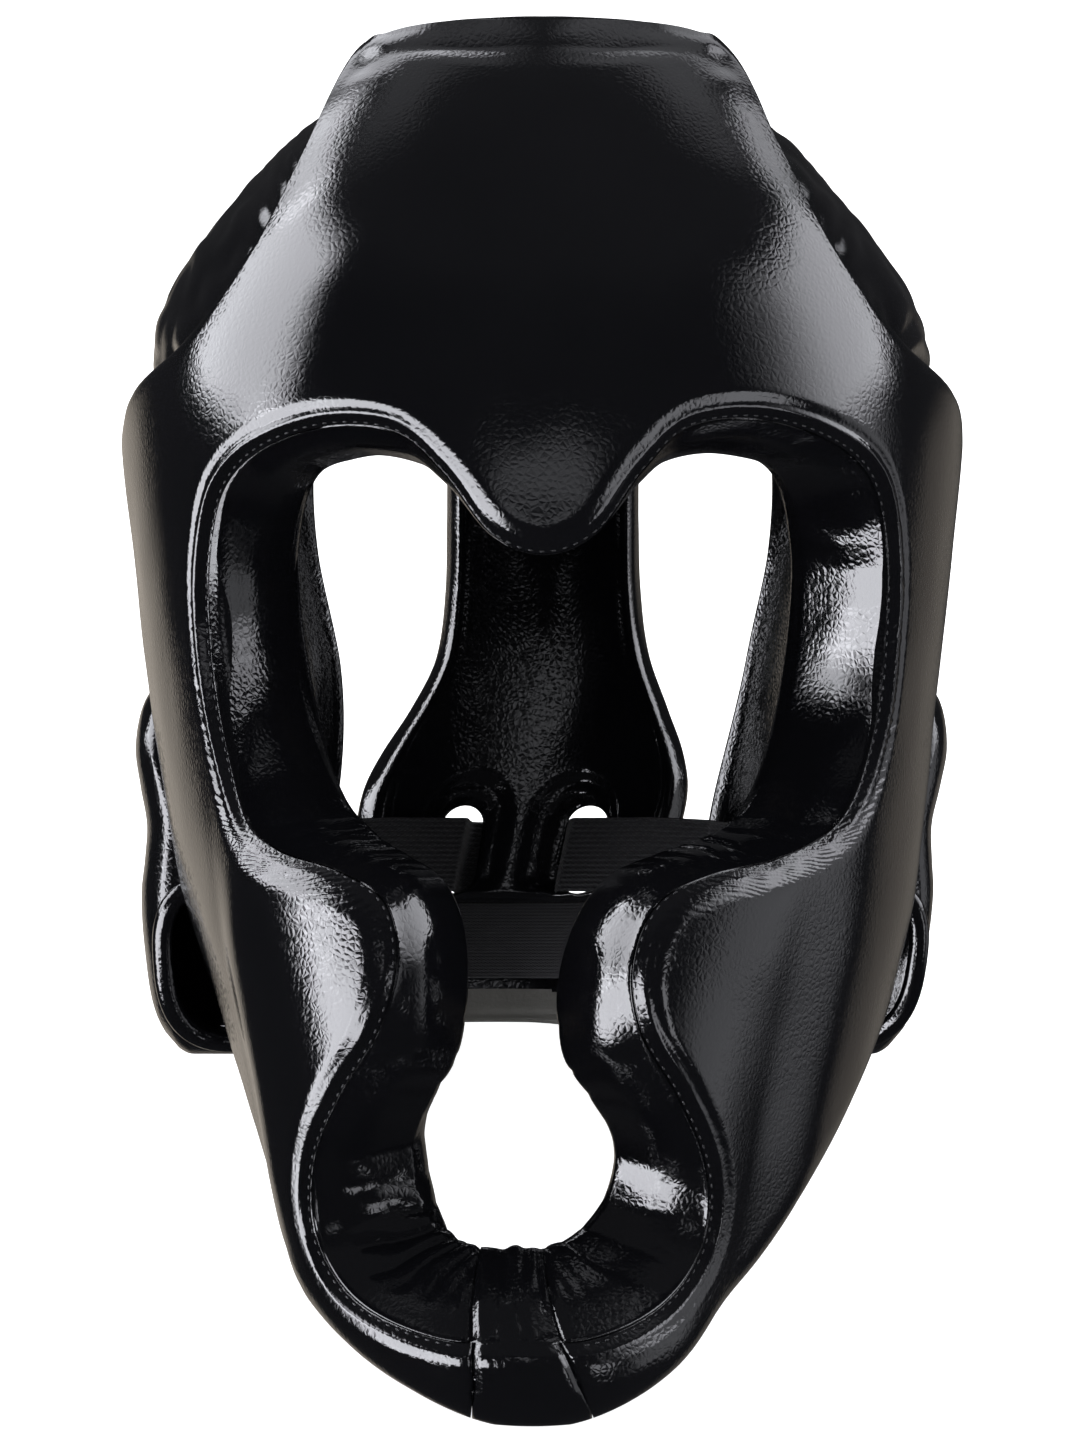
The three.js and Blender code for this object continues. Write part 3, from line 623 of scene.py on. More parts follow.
class Wire:
    """A shader socket that takes part in expressions: each operator adds a Math node."""

    def __init__(self, finish, socket):
        self.finish = finish
        self.socket = socket

    def math(self, operation, first, second):
        return self.finish.node("ShaderNodeMath", {"operation": operation}, {0: first, 1: second})

    def __add__(self, other):
        return self.math("ADD", self, other)

    def __sub__(self, other):
        return self.math("SUBTRACT", self, other)

    def __mul__(self, other):
        return self.math("MULTIPLY", self, other)

    def __truediv__(self, other):
        return self.math("DIVIDE", self, other)

    def __radd__(self, other):
        return self.math("ADD", other, self)

    def __rsub__(self, other):
        return self.math("SUBTRACT", other, self)

    def clamped(self, low=0.0, high=1.0):
        return self.math("MINIMUM", self.math("MAXIMUM", self, low), high)


class Finish:
    """A material, or the light of the room, in the making."""

    def __init__(self, owner):
        self.owner = owner
        owner.use_nodes = True
        self.tree = owner.node_tree
        self.tree.nodes.clear()

    def node(self, kind, settings, sockets, output=0):
        """Adds a node, sets it up, gives its sockets values or links, and returns one of its outputs."""
        made = self.tree.nodes.new(kind)
        for name, value in settings.items():
            setattr(made, name, value)
        for name, value in sockets.items():
            if isinstance(value, Wire):
                self.tree.links.new(value.socket, made.inputs[name])
            else:
                made.inputs[name].default_value = value
        return Wire(self, made.outputs[output])

    def places(self):
        """Coordinates of the piece itself, in metres."""
        return self.node("ShaderNodeTexCoord", {}, {}, "Object")

    def axis(self, vector, name):
        return self.node("ShaderNodeSeparateXYZ", {}, {"Vector": vector}, name)

    def sine(self, angle):
        return self.node("ShaderNodeMath", {"operation": "SINE"}, {0: angle})

    def bump(self, strength, distance, height):
        sockets = {"Strength": strength, "Distance": distance, "Height": height}
        return self.node("ShaderNodeBump", {}, sockets)

    def noise(self, places, scale, detail=2.0, roughness=0.5):
        sockets = {"Vector": places, "Scale": scale, "Detail": detail, "Roughness": roughness}
        return self.node("ShaderNodeTexNoise", {}, sockets)

    def blend(self, share, first, second):
        """Mix of two colours."""
        settings = {"data_type": "RGBA"}
        return self.node("ShaderNodeMix", settings, {"Factor": share, 6: (*first, 1), 7: (*second, 1)}, 2)

    def shades(self, share, colour, factor):
        """Mix of a colour and the same colour made paler by a factor."""
        return self.blend(share, colour, [min(factor * value, 1.0) for value in colour])

    def surface(self, sockets):
        shader = self.node("ShaderNodeBsdfPrincipled", {}, sockets)
        output = self.tree.nodes.new("ShaderNodeOutputMaterial")
        self.tree.links.new(shader.socket, output.inputs["Surface"])
        return self.owner


# Leather, in metres: the height below which it is more crackled and the band over which that fades in, the
# reach of the bends in its grain and the depth of its bump.
CRACKLE_TOP, CRACKLE_FADE, BEND_REACH, GRAIN_DEPTH = 0.215, 0.05, 0.0016, 0.0004
# Noise scales of the bends, lumps and clouds of the leather.
BEND_SCALE, LUMP_SCALE, CLOUD_SCALE = 300.0, 420.0, 28.0


def leather_finish(name, colours, crease_scale, crease_share):
    """Glossy black leather: pebbled grain, fine creases and a faint cloud in colour and gloss."""
    finish = Finish(bpy.data.materials.new(name))
    places = finish.places()
    bend_sockets = {"Vector": places, "Scale": BEND_SCALE, "Detail": 2.0}
    warp = finish.node("ShaderNodeTexNoise", {}, bend_sockets, "Color")
    bent = finish.node("ShaderNodeVectorMath", {"operation": "MULTIPLY_ADD"},
                       {0: warp, 1: (BEND_REACH, BEND_REACH, BEND_REACH), 2: places})
    pebble_sockets = {"Vector": bent, "Scale": 1 / colours.grain}
    pebble = finish.node("ShaderNodeTexVoronoi", {"feature": "DISTANCE_TO_EDGE"}, pebble_sockets)
    hills = (pebble * 2.5).clamped()
    lumps = finish.noise(places, LUMP_SCALE, 3.0)
    creases = finish.noise(bent, crease_scale, 4.0, 0.6)
    cloud = finish.noise(places, CLOUD_SCALE, 3.0)
    low = (CRACKLE_TOP - finish.axis(places, "Z")) / CRACKLE_FADE
    strength = (cloud * 2.4 - 0.4).clamped(0.3, 1.4) * (low.clamped() * 0.5 + 0.6)
    height = (hills * 0.6 + lumps * 0.5 + creases * crease_share) * strength
    bump = finish.bump(0.15, GRAIN_DEPTH, height)
    colour = finish.blend(cloud.clamped(), colours.leather, colours.leather_worn)
    roughness = cloud * 0.06 + lumps * 0.04 + (colours.roughness - 0.05)
    return finish.surface({"Base Color": colour, "Roughness": roughness, "IOR": 1.5, "Normal": bump})


def elastic_finish(name, colours, thread_size, roughness):
    """Black elastic: fine crossing threads and a matte sheen."""
    finish = Finish(bpy.data.materials.new(name))
    places = finish.places()
    turns = 2 * math.pi / thread_size
    across = finish.sine(finish.axis(places, "X") * turns)
    above = finish.sine(finish.axis(places, "Z") * (2 * turns))
    weave = (across * above) * 0.5 + 0.5
    fuzz = finish.noise(places, 2600.0, 2.0)
    bump = finish.bump(0.5, 0.0003, weave + fuzz * 0.8)
    colour = finish.shades((weave * 0.6 + fuzz * 0.5).clamped(), colours.elastic, 3.2)
    return finish.surface({
        "Base Color": colour, "Roughness": fuzz * 0.1 + roughness, "Normal": bump, "Sheen Weight": 0.05,
        "Sheen Roughness": 0.5, "Specular IOR Level": 0.15})


def thread_finish(colours):
    """Waxed black thread with a twist."""
    finish = Finish(bpy.data.materials.new("thread"))
    twist = finish.noise(finish.places(), 3200.0, 1.0)
    bump = finish.bump(0.4, 0.0002, twist)
    colour = finish.shades(twist.clamped(), colours.thread, 1.8)
    return finish.surface({"Base Color": colour, "Roughness": twist * 0.2 + 0.55, "Normal": bump})


def lining_finish(colours):
    """Olive grey suede with a short nap."""
    finish = Finish(bpy.data.materials.new("lining"))
    nap = finish.noise(finish.places(), 900.0, 3.0)
    bump = finish.bump(0.3, 0.0003, nap)
    colour = finish.shades(nap.clamped(), colours.lining, 1.3)
    return finish.surface({"Base Color": colour, "Roughness": nap * 0.15 + 0.7, "Normal": bump})


def floor_finish(studio):
    """Pale matte floor."""
    finish = Finish(bpy.data.materials.new("pale_floor"))
    mottle = finish.noise(finish.places(), 3.0, 2.0)
    colour = finish.shades(mottle.clamped(), studio.floor, 1.02)
    return finish.surface({"Base Color": colour, "Roughness": mottle * 0.1 + 0.85, "Specular IOR Level": 0.1,
                           "Emission Color": (1, 1, 1, 1), "Emission Strength": studio.floor_glow})


def material(name):
    """One of the headgear's materials, made when it is first asked for."""
    if name in bpy.data.materials:
        return bpy.data.materials[name]
    colours = bpy.context.scene.headgear_finish
    if name == "padded_leather":
        return leather_finish(name, colours, 150.0, 0.6)
    if name == "wrinkled_leather":
        return leather_finish(name, colours, 120.0, 2.2)
    if name == "ribbed_webbing":
        return elastic_finish(name, colours, 0.0016, 0.62)
    if name == "woven_webbing":
        return elastic_finish(name, colours, 0.0011, 0.6)
    if name == "lining":
        return lining_finish(colours)
    if name == "thread":
        return thread_finish(colours)
    raise ValueError(f"no material is called {name}")


# Points round a ring of the padding: its outer face, rounded outline, inner face and wall.
OUTER_STEPS = np.linspace(0, 1, 58) ** 2
ROUND_TURNS = np.radians(np.linspace(78, -78, 15))
INNER_STEPS = np.linspace(1, 0, 14)
WALL_SHARES = np.linspace(0, 1, 44)
FLOOR_SHARES = np.linspace(0, 1, 7)
WALL_POWER, WALL_SWELL = 4.5, 0.8
# Share of the swell at each section from left to right, and its lean towards the inner edge.
WALL_SHARE = table("section share skew", [
    (-21, 1, 1.6), (-11.5, 1, 1.6), (-9.5, 2, 2.4), (-6.5, 2, 2.4), (-5, 1, 1.6), (21, 1, 1.6),
])
# Bound inner edge of the wall: the place and width of its groove, as shares of the wall, and its depth.
BINDING_PLACE, BINDING_WIDTH, BINDING_DEPTH = 0.88, 0.022, 0.55
# Rounding of the wall's inner edge: points to each side, and passes.
SOFTEN_REACH, SOFTEN_PASSES = 5, 14
# Section from which the rings turn to follow the seams of the chin.
STRAIGHT_SECTIONS = 18
# Rings of the padding in each section, close together where the leather puckers.
RING_DENSITY = table("section rings", [(0, 10), (7.5, 10), (8.5, 24), (13, 24), (14, 11), (21, 11)])


def chin_half(z):
    """Half width of the gusset of the chin at a height."""
    return CHIN_INNER + CHIN_FLARE * (CHIN_INNER_Z - z)


def chin_ends(ring, count, gap):
    """Section number at which each point of a ring meets the seam of the chin."""
    low = np.full((1, count), float(STRAIGHT_SECTIONS))
    high = np.full((1, count), float(LAST_SECTION))
    for _ in range(HALVINGS):
        middle = (low + high) / 2
        points = ring(middle)
        outside = points[..., 0] > chin_half(points[..., 2]) + gap
        low = np.where(outside, middle, low)
        high = np.where(outside, high, middle)
    return low


def loop_numbers():
    """Section numbers of the rings round the opening."""
    fine = np.linspace(0, LAST_SECTION, 50 * LAST_SECTION + 1)
    density = np.interp(fine, RING_DENSITY["section"], RING_DENSITY["rings"])
    passed = np.concatenate([[0], np.cumsum((density[1:] + density[:-1]) / 2 * np.diff(fine))])
    side = np.interp(np.linspace(0, passed[-1], round(passed[-1]) + 1), passed, fine)
    return np.concatenate([-side[:0:-1], side])


def open_loop_numbers(ring, count):
    """Section numbers of every ring and point of a loop round the opening that stops at the chin's seams."""
    ends = chin_ends(ring, count, GAP)
    numbers = loop_numbers()[:, None]
    reach = np.abs(numbers)
    shrink = (ends - STRAIGHT_SECTIONS) / (LAST_SECTION - STRAIGHT_SECTIONS)
    turned = lerp(STRAIGHT_SECTIONS, reach, shrink)
    return np.sign(numbers) * np.where(reach > STRAIGHT_SECTIONS, turned, reach)


_travel = []


def seam_travel():
    """Section numbers round the opening, and the way along its seam to each."""
    if not _travel:
        numbers = np.linspace(-LAST_SECTION, LAST_SECTION, 40 * LAST_SECTION)
        path = PadSection(numbers).at(0.0, 1)
        steps = np.linalg.norm(np.diff(path, axis=0), axis=-1)
        _travel.extend([numbers, np.concatenate([[0], np.cumsum(steps)])])
    return _travel


_seam_tree = []


def distance_to_seam(points):
    """Straight distance of points on the face to the seam of the opening."""
    if not _seam_tree:
        numbers = np.linspace(-LAST_SECTION, LAST_SECTION, 120 * LAST_SECTION)
        tree = kdtree.KDTree(len(numbers))
        for k, place in enumerate(PadSection(numbers).at(0.0, 1)):
            tree.insert(place, k)
        tree.balance()
        _seam_tree.append(tree)
    found = [_seam_tree[0].find(place)[2] for place in points.reshape(-1, 3)]
    return np.array(found).reshape(points.shape[:-1])


# Rolled lip beside the seam of the opening, from the chin up the left side, over the brow and down the right
# side: its width, and the strength of its ridge, of the valley outside the ridge and of its fine puckers.
LIP = table("section width ridge valley pucker", [
    (-21, 4.5, 0.3, 0.0, 0.2),
    (-18, 5, 0.3, 0.0, 0.1),
    (-15, 6, 0.3, 0.1, 0.1),
    (-12.5, 7, 0.2, 0.0, 0.7),
    (-10.5, 7, 0.3, 0.2, 1.0),
    (-9, 5, 0.9, 0.9, 0.7),
    (-6, 4.6, 0.9, 1.0, 0.2),
    (-4, 5, 0.5, 0.5, 0.1),
    (-2, 5, 0.4, 0.1, 0.1),
    (0, 6, 0.2, 0.0, 0.1),
    (2, 6, 0.4, 0.1, 0.1),
    (4, 5.6, 0.5, 0.4, 0.1),
    (6, 4.6, 0.8, 0.8, 0.3),
    (8.5, 5, 0.7, 0.7, 0.9),
    (10.5, 7, 0.2, 0.1, 1.0),
    (12.5, 7, 0.2, 0.0, 0.7),
    (15, 6, 0.6, 0.2, 0.3),
    (18, 5.5, 0.5, 0.2, 0.4),
    (21, 4.5, 0.3, 0.0, 0.2),
])
RIDGE_PLACE, RIDGE_WIDTH = 1.7, 1.0
VALLEY_PLACE, VALLEY_WIDTH = 3.7, 1.0
PUCKER_PITCH, PUCKER_PLACE, PUCKER_WIDTH = 2.1, 3.0, 3.0
# The row of stitches: its distance from the seam, and the section of the chin where it ends.
STITCH_PLACE, STITCH_END = 0.55, 20.2
CHIN_SEAM_DEPTH, CHIN_SEAM_WIDTH, CHIN_SEAM_START, CHIN_SEAM_FADE = 0.9, 1.2, 15, 20
# Hem of the forehead: the section where it ends and its fade, the width of its crease, and the place, width
# and share of its roll.
HEM_END, HEM_FADE, HEM_CREASE, HEM_ROLL, HEM_ROLL_WIDTH, HEM_ROLL_SHARE = 4.0, 0.7, 1.3, 5.0, 3.5, 0.5


def lip_height(number, seam, points, sizes):
    """Height of the leather beside the seam, at section numbers and distances from the seam."""
    width, ridge, valley, pucker = read_columns(LIP, number)
    drop = LIP_DROP * (1 - np.minimum(seam / width, 1)) ** 2
    ridge = ridge * mm(sizes.ridge) * bell(seam - RIDGE_PLACE, RIDGE_WIDTH)
    ridge = ridge * np.minimum(seam / RIDGE_PLACE, 1)
    valley = valley * mm(sizes.valley) * bell(seam - VALLEY_PLACE, VALLEY_WIDTH)
    travel = np.interp(number, *seam_travel()) + 2.6 * soft_noise(points, 6.0, 61.0)
    folds = np.sin(2 * np.pi * travel / PUCKER_PITCH) * (1 + 1.5 * soft_noise(points, 4.0, 67.0))
    puckers = pucker * mm(sizes.pucker) * folds * bell(seam - PUCKER_PLACE, PUCKER_WIDTH)
    return ridge - drop - valley + puckers * np.minimum(seam, 1)


def chin_seam_height(points):
    """Dip of the leather on both sides of the chin's seams."""
    beside = np.abs(points[..., 0]) - chin_half(points[..., 2])
    low = smoothstep(CHIN_INNER_Z + CHIN_SEAM_START - points[..., 2], 0, CHIN_SEAM_FADE)
    return -CHIN_SEAM_DEPTH * low * bell(beside, CHIN_SEAM_WIDTH)


def pad_relief(section, share, points, sizes):
    """Height of the outer face of the padding above its form: lip, hem, seams and unevenness."""
    edge = (1 - share) * section.length
    along_top = smoothstep(HEM_END - np.abs(section.number), 0, HEM_FADE)
    roll = HEM_ROLL_SHARE * bell(edge - HEM_ROLL, HEM_ROLL_WIDTH)
    hem = mm(sizes.hem_depth) * along_top * (bell(edge - mm(sizes.hem_width), HEM_CREASE) - roll)
    uneven = mm(sizes.swell) * (soft_noise(points, 42.0, 3.0) + 0.5 * soft_noise(points, 17.0, 9.0))
    lip = lip_height(section.number, distance_to_seam(points), points, sizes)
    return lip - hem + chin_seam_height(points) + uneven


def outer_face(number, step, relief=None):
    section = PadSection(number)
    share = step * section.flat_end
    points = section.at(share, 1)
    if relief is None:
        return points
    return points + section.normal(share) * relief(section, share, points)[..., None]


def rounded_edge(number, turn):
    section = PadSection(number)
    out = 1 - np.cos(turn) ** (2 / PAD_POWER)
    return section.at(1 - out * section.round / section.length, signed_power(np.sin(turn), 2 / PAD_POWER))


def inner_face(number, step):
    section = PadSection(number)
    return section.at(lerp(section.back, section.flat_end, step), -1)


def pad_ring(number, relief=None):
    """Points round the padding: outer face from the seam, rounded outline, inner face back to the root."""
    first, second = len(OUTER_STEPS), len(OUTER_STEPS) + len(ROUND_TURNS)
    third = second + len(INNER_STEPS)
    return np.concatenate([
        outer_face(number[:, :first], OUTER_STEPS, relief),
        rounded_edge(number[:, first:second], ROUND_TURNS),
        inner_face(number[:, second:third], INNER_STEPS),
        PadSection(number[:, third:]).root(),
    ], axis=1)


PAD_COUNT = len(OUTER_STEPS) + len(ROUND_TURNS) + len(INNER_STEPS) + 1


def roll_wall(number, share):
    """Points of the wall of the opening from the seam over its bulge to the inner edge."""
    section = PadSection(number)
    amount, skew = read_columns(WALL_SHARE, section.number)
    skewed = share ** skew
    swell = WALL_SWELL * section.row["bulge"] * amount * (1 - np.abs(2 * skewed - 1) ** WALL_POWER)
    inner_edge = section.beside(section.row["spill"], -1)
    straight = lerp(section.seam_point(), inner_edge, np.asarray(share)[..., None])
    return straight + unit(section.inward()) * swell[..., None]


# Pleats of the wall: their middle section and spread, number in that spread, depth, and reach from the seam.
PLEATS = table("section spread waves depth start end", [
    (-11.2, 1.1, 5, 0.8, 0.05, 0.75),
    (11.0, 1.2, 5, 0.9, 0.05, 0.8),
    (-18.3, 1.3, 6, 1.5, 0.15, 1.0),
    (18.4, 1.2, 4, 0.6, 0.1, 0.9),
    (-15.2, 0.9, 3, 0.5, 0.3, 1.0),
    (15.4, 1.0, 3, 0.5, 0.3, 1.0),
    (6.2, 1.2, 5, 0.5, 0.0, 0.6),
    (-20.2, 0.6, 4, 1.0, 0.2, 1.0),
    (20.2, 0.6, 4, 0.6, 0.2, 1.0),
])


def pleat_height(number, share, points):
    """Folds of the wall across the seam, gathered at its corners."""
    height = np.zeros(np.broadcast(number, share).shape)
    waver = 0.25 * soft_noise(points, 9.0, 5.0)
    for middle, spread, waves, depth, start, end in zip(*PLEATS.values()):
        beside = (number - middle) / spread + waver * 0.5
        along = smoothstep(share, start, start + 0.2) * smoothstep(end + 0.15 - share, 0, 0.3)
        folds = (1 - np.abs(np.sin(np.pi * waves * beside / 2))) ** 2
        height = height - depth * bell(beside, 1.0) * along * folds
    return height


class HEADGEAR_OT_face_shell(bpy.types.Operator):
    """Padded face: forehead, cheeks and jaw round the keyhole opening"""
    bl_idname = "headgear.face_shell"
    bl_label = "Face shell"

    def execute(self, context):
        sizes = context.scene.headgear_sizes
        relief = partial(pad_relief, sizes=sizes)
        rings = pad_ring(open_loop_numbers(pad_ring, PAD_COUNT), relief)
        shell = mesh_object("face_shell_padding", [(rings, closed_loops(rings))])
        dress(shell, material("padded_leather"), ["face_shell"])
        return {"FINISHED"}


class HEADGEAR_OT_face_roll(bpy.types.Operator):
    """Soft wall inside the opening, from its seam to the inner edge"""
    bl_idname = "headgear.face_roll"
    bl_label = "Face roll"

    def execute(self, context):
        sizes = context.scene.headgear_sizes
        wall_count = len(WALL_SHARES)
        floor_shares = FLOOR_SHARES[1:, None]
        back_shares = np.linspace(0, 1, 4)[1:-1, None]

        def ring(number):
            wall = roll_wall(number[:, :wall_count], WALL_SHARES)
            section = PadSection(number[:, -1:])
            shift = GAP * unit(section.inward())
            root = section.root() + shift
            floor = lerp(wall[:, -1:], root, floor_shares)
            back = lerp(root, section.seam_point() + shift, back_shares)
            return np.concatenate([wall, floor, back], axis=1)

        count = wall_count + len(floor_shares) + len(back_shares)
        numbers = open_loop_numbers(ring, count)
        rings = ring(numbers)
        wall_numbers = numbers[:, :wall_count]
        wall = rings[:, :wall_count]
        section = PadSection(wall_numbers)
        normals = grid_normals(wall, unit(section.inward()))
        height = pleat_height(wall_numbers, WALL_SHARES, wall)
        height = height + chin_seam_height(wall) + mm(sizes.swell) * soft_noise(wall, 15.0, 21.0)
        height = height - BINDING_DEPTH * bell(WALL_SHARES - BINDING_PLACE, BINDING_WIDTH)
        fade = smoothstep(WALL_SHARES, 0.0, 0.06)
        rings[:, :wall_count] = wall + normals * (height * fade)[..., None]
        rings[:, 0] += GAP * unit(section.inward())[:, 0]
        soften(rings, wall_count - 1)
        roll = mesh_object("face_roll_padding", [(rings, closed_loops(rings))])
        dress(roll, material("padded_leather"), ["face_roll"])
        return {"FINISHED"}


def soften(rings, corner):
    """Rounds the corner of each ring at one of its points."""
    columns = np.arange(corner - SOFTEN_REACH, corner + SOFTEN_REACH + 1) % rings.shape[1]
    for _ in range(SOFTEN_PASSES):
        before = rings[:, (columns - 1) % rings.shape[1]]
        after = rings[:, (columns + 1) % rings.shape[1]]
        rings[:, columns] = 0.25 * before + 0.5 * rings[:, columns] + 0.25 * after


class HEADGEAR_OT_chin_gusset(bpy.types.Operator):
    """Gathered gusset between the two seams of the chin"""
    bl_idname = "headgear.chin_gusset"
    bl_label = "Chin gusset"

    def execute(self, context):
        sizes = context.scene.headgear_sizes
        wall_shares = WALL_SHARES[:0:-1]
        wall_count = len(wall_shares)
        count = wall_count + PAD_COUNT
        floor_shares = FLOOR_SHARES[1:-1, None]
        relief = partial(pad_relief, sizes=sizes)

        def closed_ring(wall, pad):
            floor = lerp(pad[:, -1:], wall[:, :1], floor_shares)
            return np.concatenate([wall, pad, floor], axis=1)

        def plain_ring(number):
            wall = roll_wall(number[:, :wall_count], wall_shares)
            return closed_ring(wall, pad_ring(number[:, wall_count:count]))

        ends = chin_ends(plain_ring, count + len(floor_shares), 0.0)
        numbers = LAST_SECTION + np.linspace(-1, 1, 41)[:, None] * (LAST_SECTION - ends)
        numbers = np.where(numbers > LAST_SECTION, numbers - 2 * LAST_SECTION, numbers)
        wall = roll_wall(numbers[:, :wall_count], wall_shares)
        inward = unit(PadSection(numbers[:, :wall_count]).inward())
        gathers = 0.8 * soft_noise(wall, (2.6, 14.0, 30.0), 2.0) + chin_seam_height(wall)
        wall = wall + inward * (gathers * smoothstep(wall_shares, 0, 0.1))[..., None]
        rings = closed_ring(wall, pad_ring(numbers[:, wall_count:count], relief))
        soften(rings, 0)
        gusset = mesh_object("chin_gusset_padding", [(rings, closed_loops(rings))])
        dress(gusset, material("padded_leather"), ["chin_gusset"])
        return {"FINISHED"}


def wing_row(row):
    """Columns of the side panel table, read between rows."""
    k = np.minimum(np.floor(row).astype(int), LAST_ROW - 1)
    near = [np.clip(k + step, 0, LAST_ROW) for step in (-1, 0, 1, 2)]
    return {column: cubic(*(values[i] for i in near), row - k) for column, values in WING.items()}


def wing_point(row, share, fullness):
    """Point of the outer face of the right side panel, at a row and a share of the way to the rear."""
    row, share = np.broadcast_arrays(np.asarray(row, float), np.asarray(share, float))
    found = wing_row(row)
    section = PadSection(found["section"])
    front = section.at(WING_START_SHARE, WING_START_LIFT)
    leave = unit(front - section.at(WING_START_SHARE - WING_START_STEP, WING_START_LIFT))
    leave = unit(leave + np.array([0, 1, 0]))
    rear = np.stack([found["x"], found["y"], found["z"]], axis=-1)
    up = np.maximum(found["z"] - WING_UP, 0) / WING_UP_REACH ** 2
    behind = (found["y"] - HOOD_Y) / WING_BACK_REACH ** 2
    normal = unit(np.stack([found["x"] / HOOD_HALF ** 2, behind, up], axis=-1))
    arrive = unit(np.array([0, 1, 0]) - normal * normal[..., 1:2])
    handle = np.linalg.norm(rear - front, axis=-1, keepdims=True) * WING_REACH / 3
    t = share[..., None]
    near, far = front + leave * handle, rear - arrive * handle
    place = (1 - t) ** 3 * front + 3 * t * (1 - t) ** 2 * near + 3 * t ** 2 * (1 - t) * far + t ** 3 * rear
    outwards = np.stack([front[..., 0], 0 * row, np.maximum(front[..., 2] - WING_UP, 0)], axis=-1)
    swell = fullness * found["swell"] * np.sin(np.pi * share ** SWELL_LEAN)
    return place + unit(outwards) * swell[..., None]


def wing_surface(row, share, fullness):
    """The side panel carried on past its last row to the crown strap."""
    row, share = np.broadcast_arrays(np.asarray(row, float), np.asarray(share, float))
    point = wing_point(np.minimum(row, LAST_ROW), share, fullness)
    t = np.clip(row - LAST_ROW, 0, None)[..., None]
    crown = hood_crown(lerp(CROWN_EDGE_FRONT, CROWN_EDGE_REAR, share), STRAP_HALF + GAP)
    last = wing_point(LAST_ROW + 0 * row, share, fullness)
    rise = 2 * (last - wing_point(LAST_ROW - 0.5 + 0 * row, share, fullness))
    span = crown - last
    carried = last + t * (rise * (1 - t) ** 2) * CROWN_RISE + span * t * t * (3 - 2 * t)
    return np.where(t > 0, carried, point)


def rounding(distance, radius):
    """Share of the full thickness at a distance from a rounded edge."""
    return np.sqrt(1 - (1 - np.clip(distance / radius, 0, 1)) ** 2)


def plate(middle, normal, half, outer_relief, inner_relief):
    """Closed padded panel about a middle surface, with its two faces a half thickness away from it."""
    outer = middle + normal * (half + outer_relief)[..., None]
    inner = middle - normal * (half + inner_relief)[..., None]
    rings = np.concatenate([outer, inner[:, ::-1]], axis=1)
    return rings, closed_loops(rings)


# Side panels: rows and columns of points, their crowding at the lower and the rear edge, and a point inside.
WING_ROWS, WING_COLUMNS, ROW_CROWDING, COLUMN_CROWDING = 280, 90, 1.15, 1.5
WING_CENTRE = np.array([0, 0, 10.0])
# Millimetres of a row, of the way to the rear and of the run to the strap, and the seam there.
ROW_SPAN, REAR_SPAN, STRAP_SPAN = 21.0, 130.0, 15.0
STRAP_DIP, STRAP_DIP_WIDTH = 1.8, 3.0
# Their wrinkles: reach from the face pad, size of the folds, share and size of the crumple, and edge fade.
FOLD_REACH, FOLD_SIZE, CRUMPLE_SHARE, CRUMPLE_SIZE, WRINKLE_FADE = 0.25, (6.0, 20.0, 10.0), 0.1, 9.0, 12.0
FOLD_SEED = {"left": 4.0, "right": 14.0}
MIRROR = {"left": np.array([-1, 1, 1]), "right": np.array([1, 1, 1])}


class HEADGEAR_OT_wings(bpy.types.Operator):
    """Soft side panels from the face pad round to the back of the head"""
    bl_idname = "headgear.wings"
    bl_label = "Side panels"

    def execute(self, context):
        sizes = context.scene.headgear_sizes
        rows = (LAST_ROW + 1) * np.linspace(0, 1, WING_ROWS)[:, None] ** ROW_CROWDING
        shares = 1 - (1 - np.linspace(0.0, 1, WING_COLUMNS)[None, :]) ** COLUMN_CROWDING
        for side, fullness in WING_FULLNESS.items():
            outer = wing_surface(rows, shares, fullness)
            normal = grid_normals(outer, unit(outer - WING_CENTRE))
            rear = (1 - shares) * REAR_SPAN
            low = rows * ROW_SPAN
            free = np.minimum(rear, low)
            strap = (LAST_ROW + 1 - rows) * STRAP_SPAN
            half = HOOD_THICK / 2 * rounding(free, HOOD_THICK / 2)
            dip = STRAP_DIP * bell(strap, STRAP_DIP_WIDTH)
            near_pad = np.exp(-shares / FOLD_REACH)
            flat = np.stack(np.broadcast_arrays(low, shares * REAR_SPAN, 0.0), axis=-1)
            folds = 2 * np.abs(soft_noise(flat, FOLD_SIZE, FOLD_SEED[side]))
            crumple = soft_noise(outer, CRUMPLE_SIZE, 31.0)
            wrinkles = mm(sizes.wrinkle) * (near_pad * folds + CRUMPLE_SHARE * crumple)
            wrinkles = wrinkles * rounding(free, WRINKLE_FADE)
            middle = outer - normal * HOOD_THICK / 2
            mirror = MIRROR[side]
            rings, faces = plate(middle * mirror, normal * mirror, half - dip, wrinkles, 0 * wrinkles)
            wing = mesh_object(f"wing_{side}_panel", [(rings, faces)])
            dress(wing, material("wrinkled_leather"), [f"wing_{side}"])
        return {"FINISHED"}


# Sunken border of each slot, in millimetres from its edge: rounding and where it starts, depth, place of the
# shoulder, the height, place and width of the rolled rim, the y from and to which the slot is cut, and the
# distance from the pad's end over which the border fades in.
SLOT_EDGE, SLOT_LIP, SLOT_SUNK, SLOT_SHOULDER = 2.6, 0.3, 3.0, (4.5, 9.0)
SLOT_RIM, SLOT_RIM_PLACE, SLOT_RIM_WIDTH = 1.7, 3.5, 1.5
SLOT_CUT = (60.0, 170.0)
SLOT_CLEAR = (2, 6)
# Rear pad: columns and rows of points, and a point inside it.
REAR_COLUMNS, REAR_ROWS = 61, 90
REAR_CENTRE = np.array([0, HOOD_Y, 30.0])
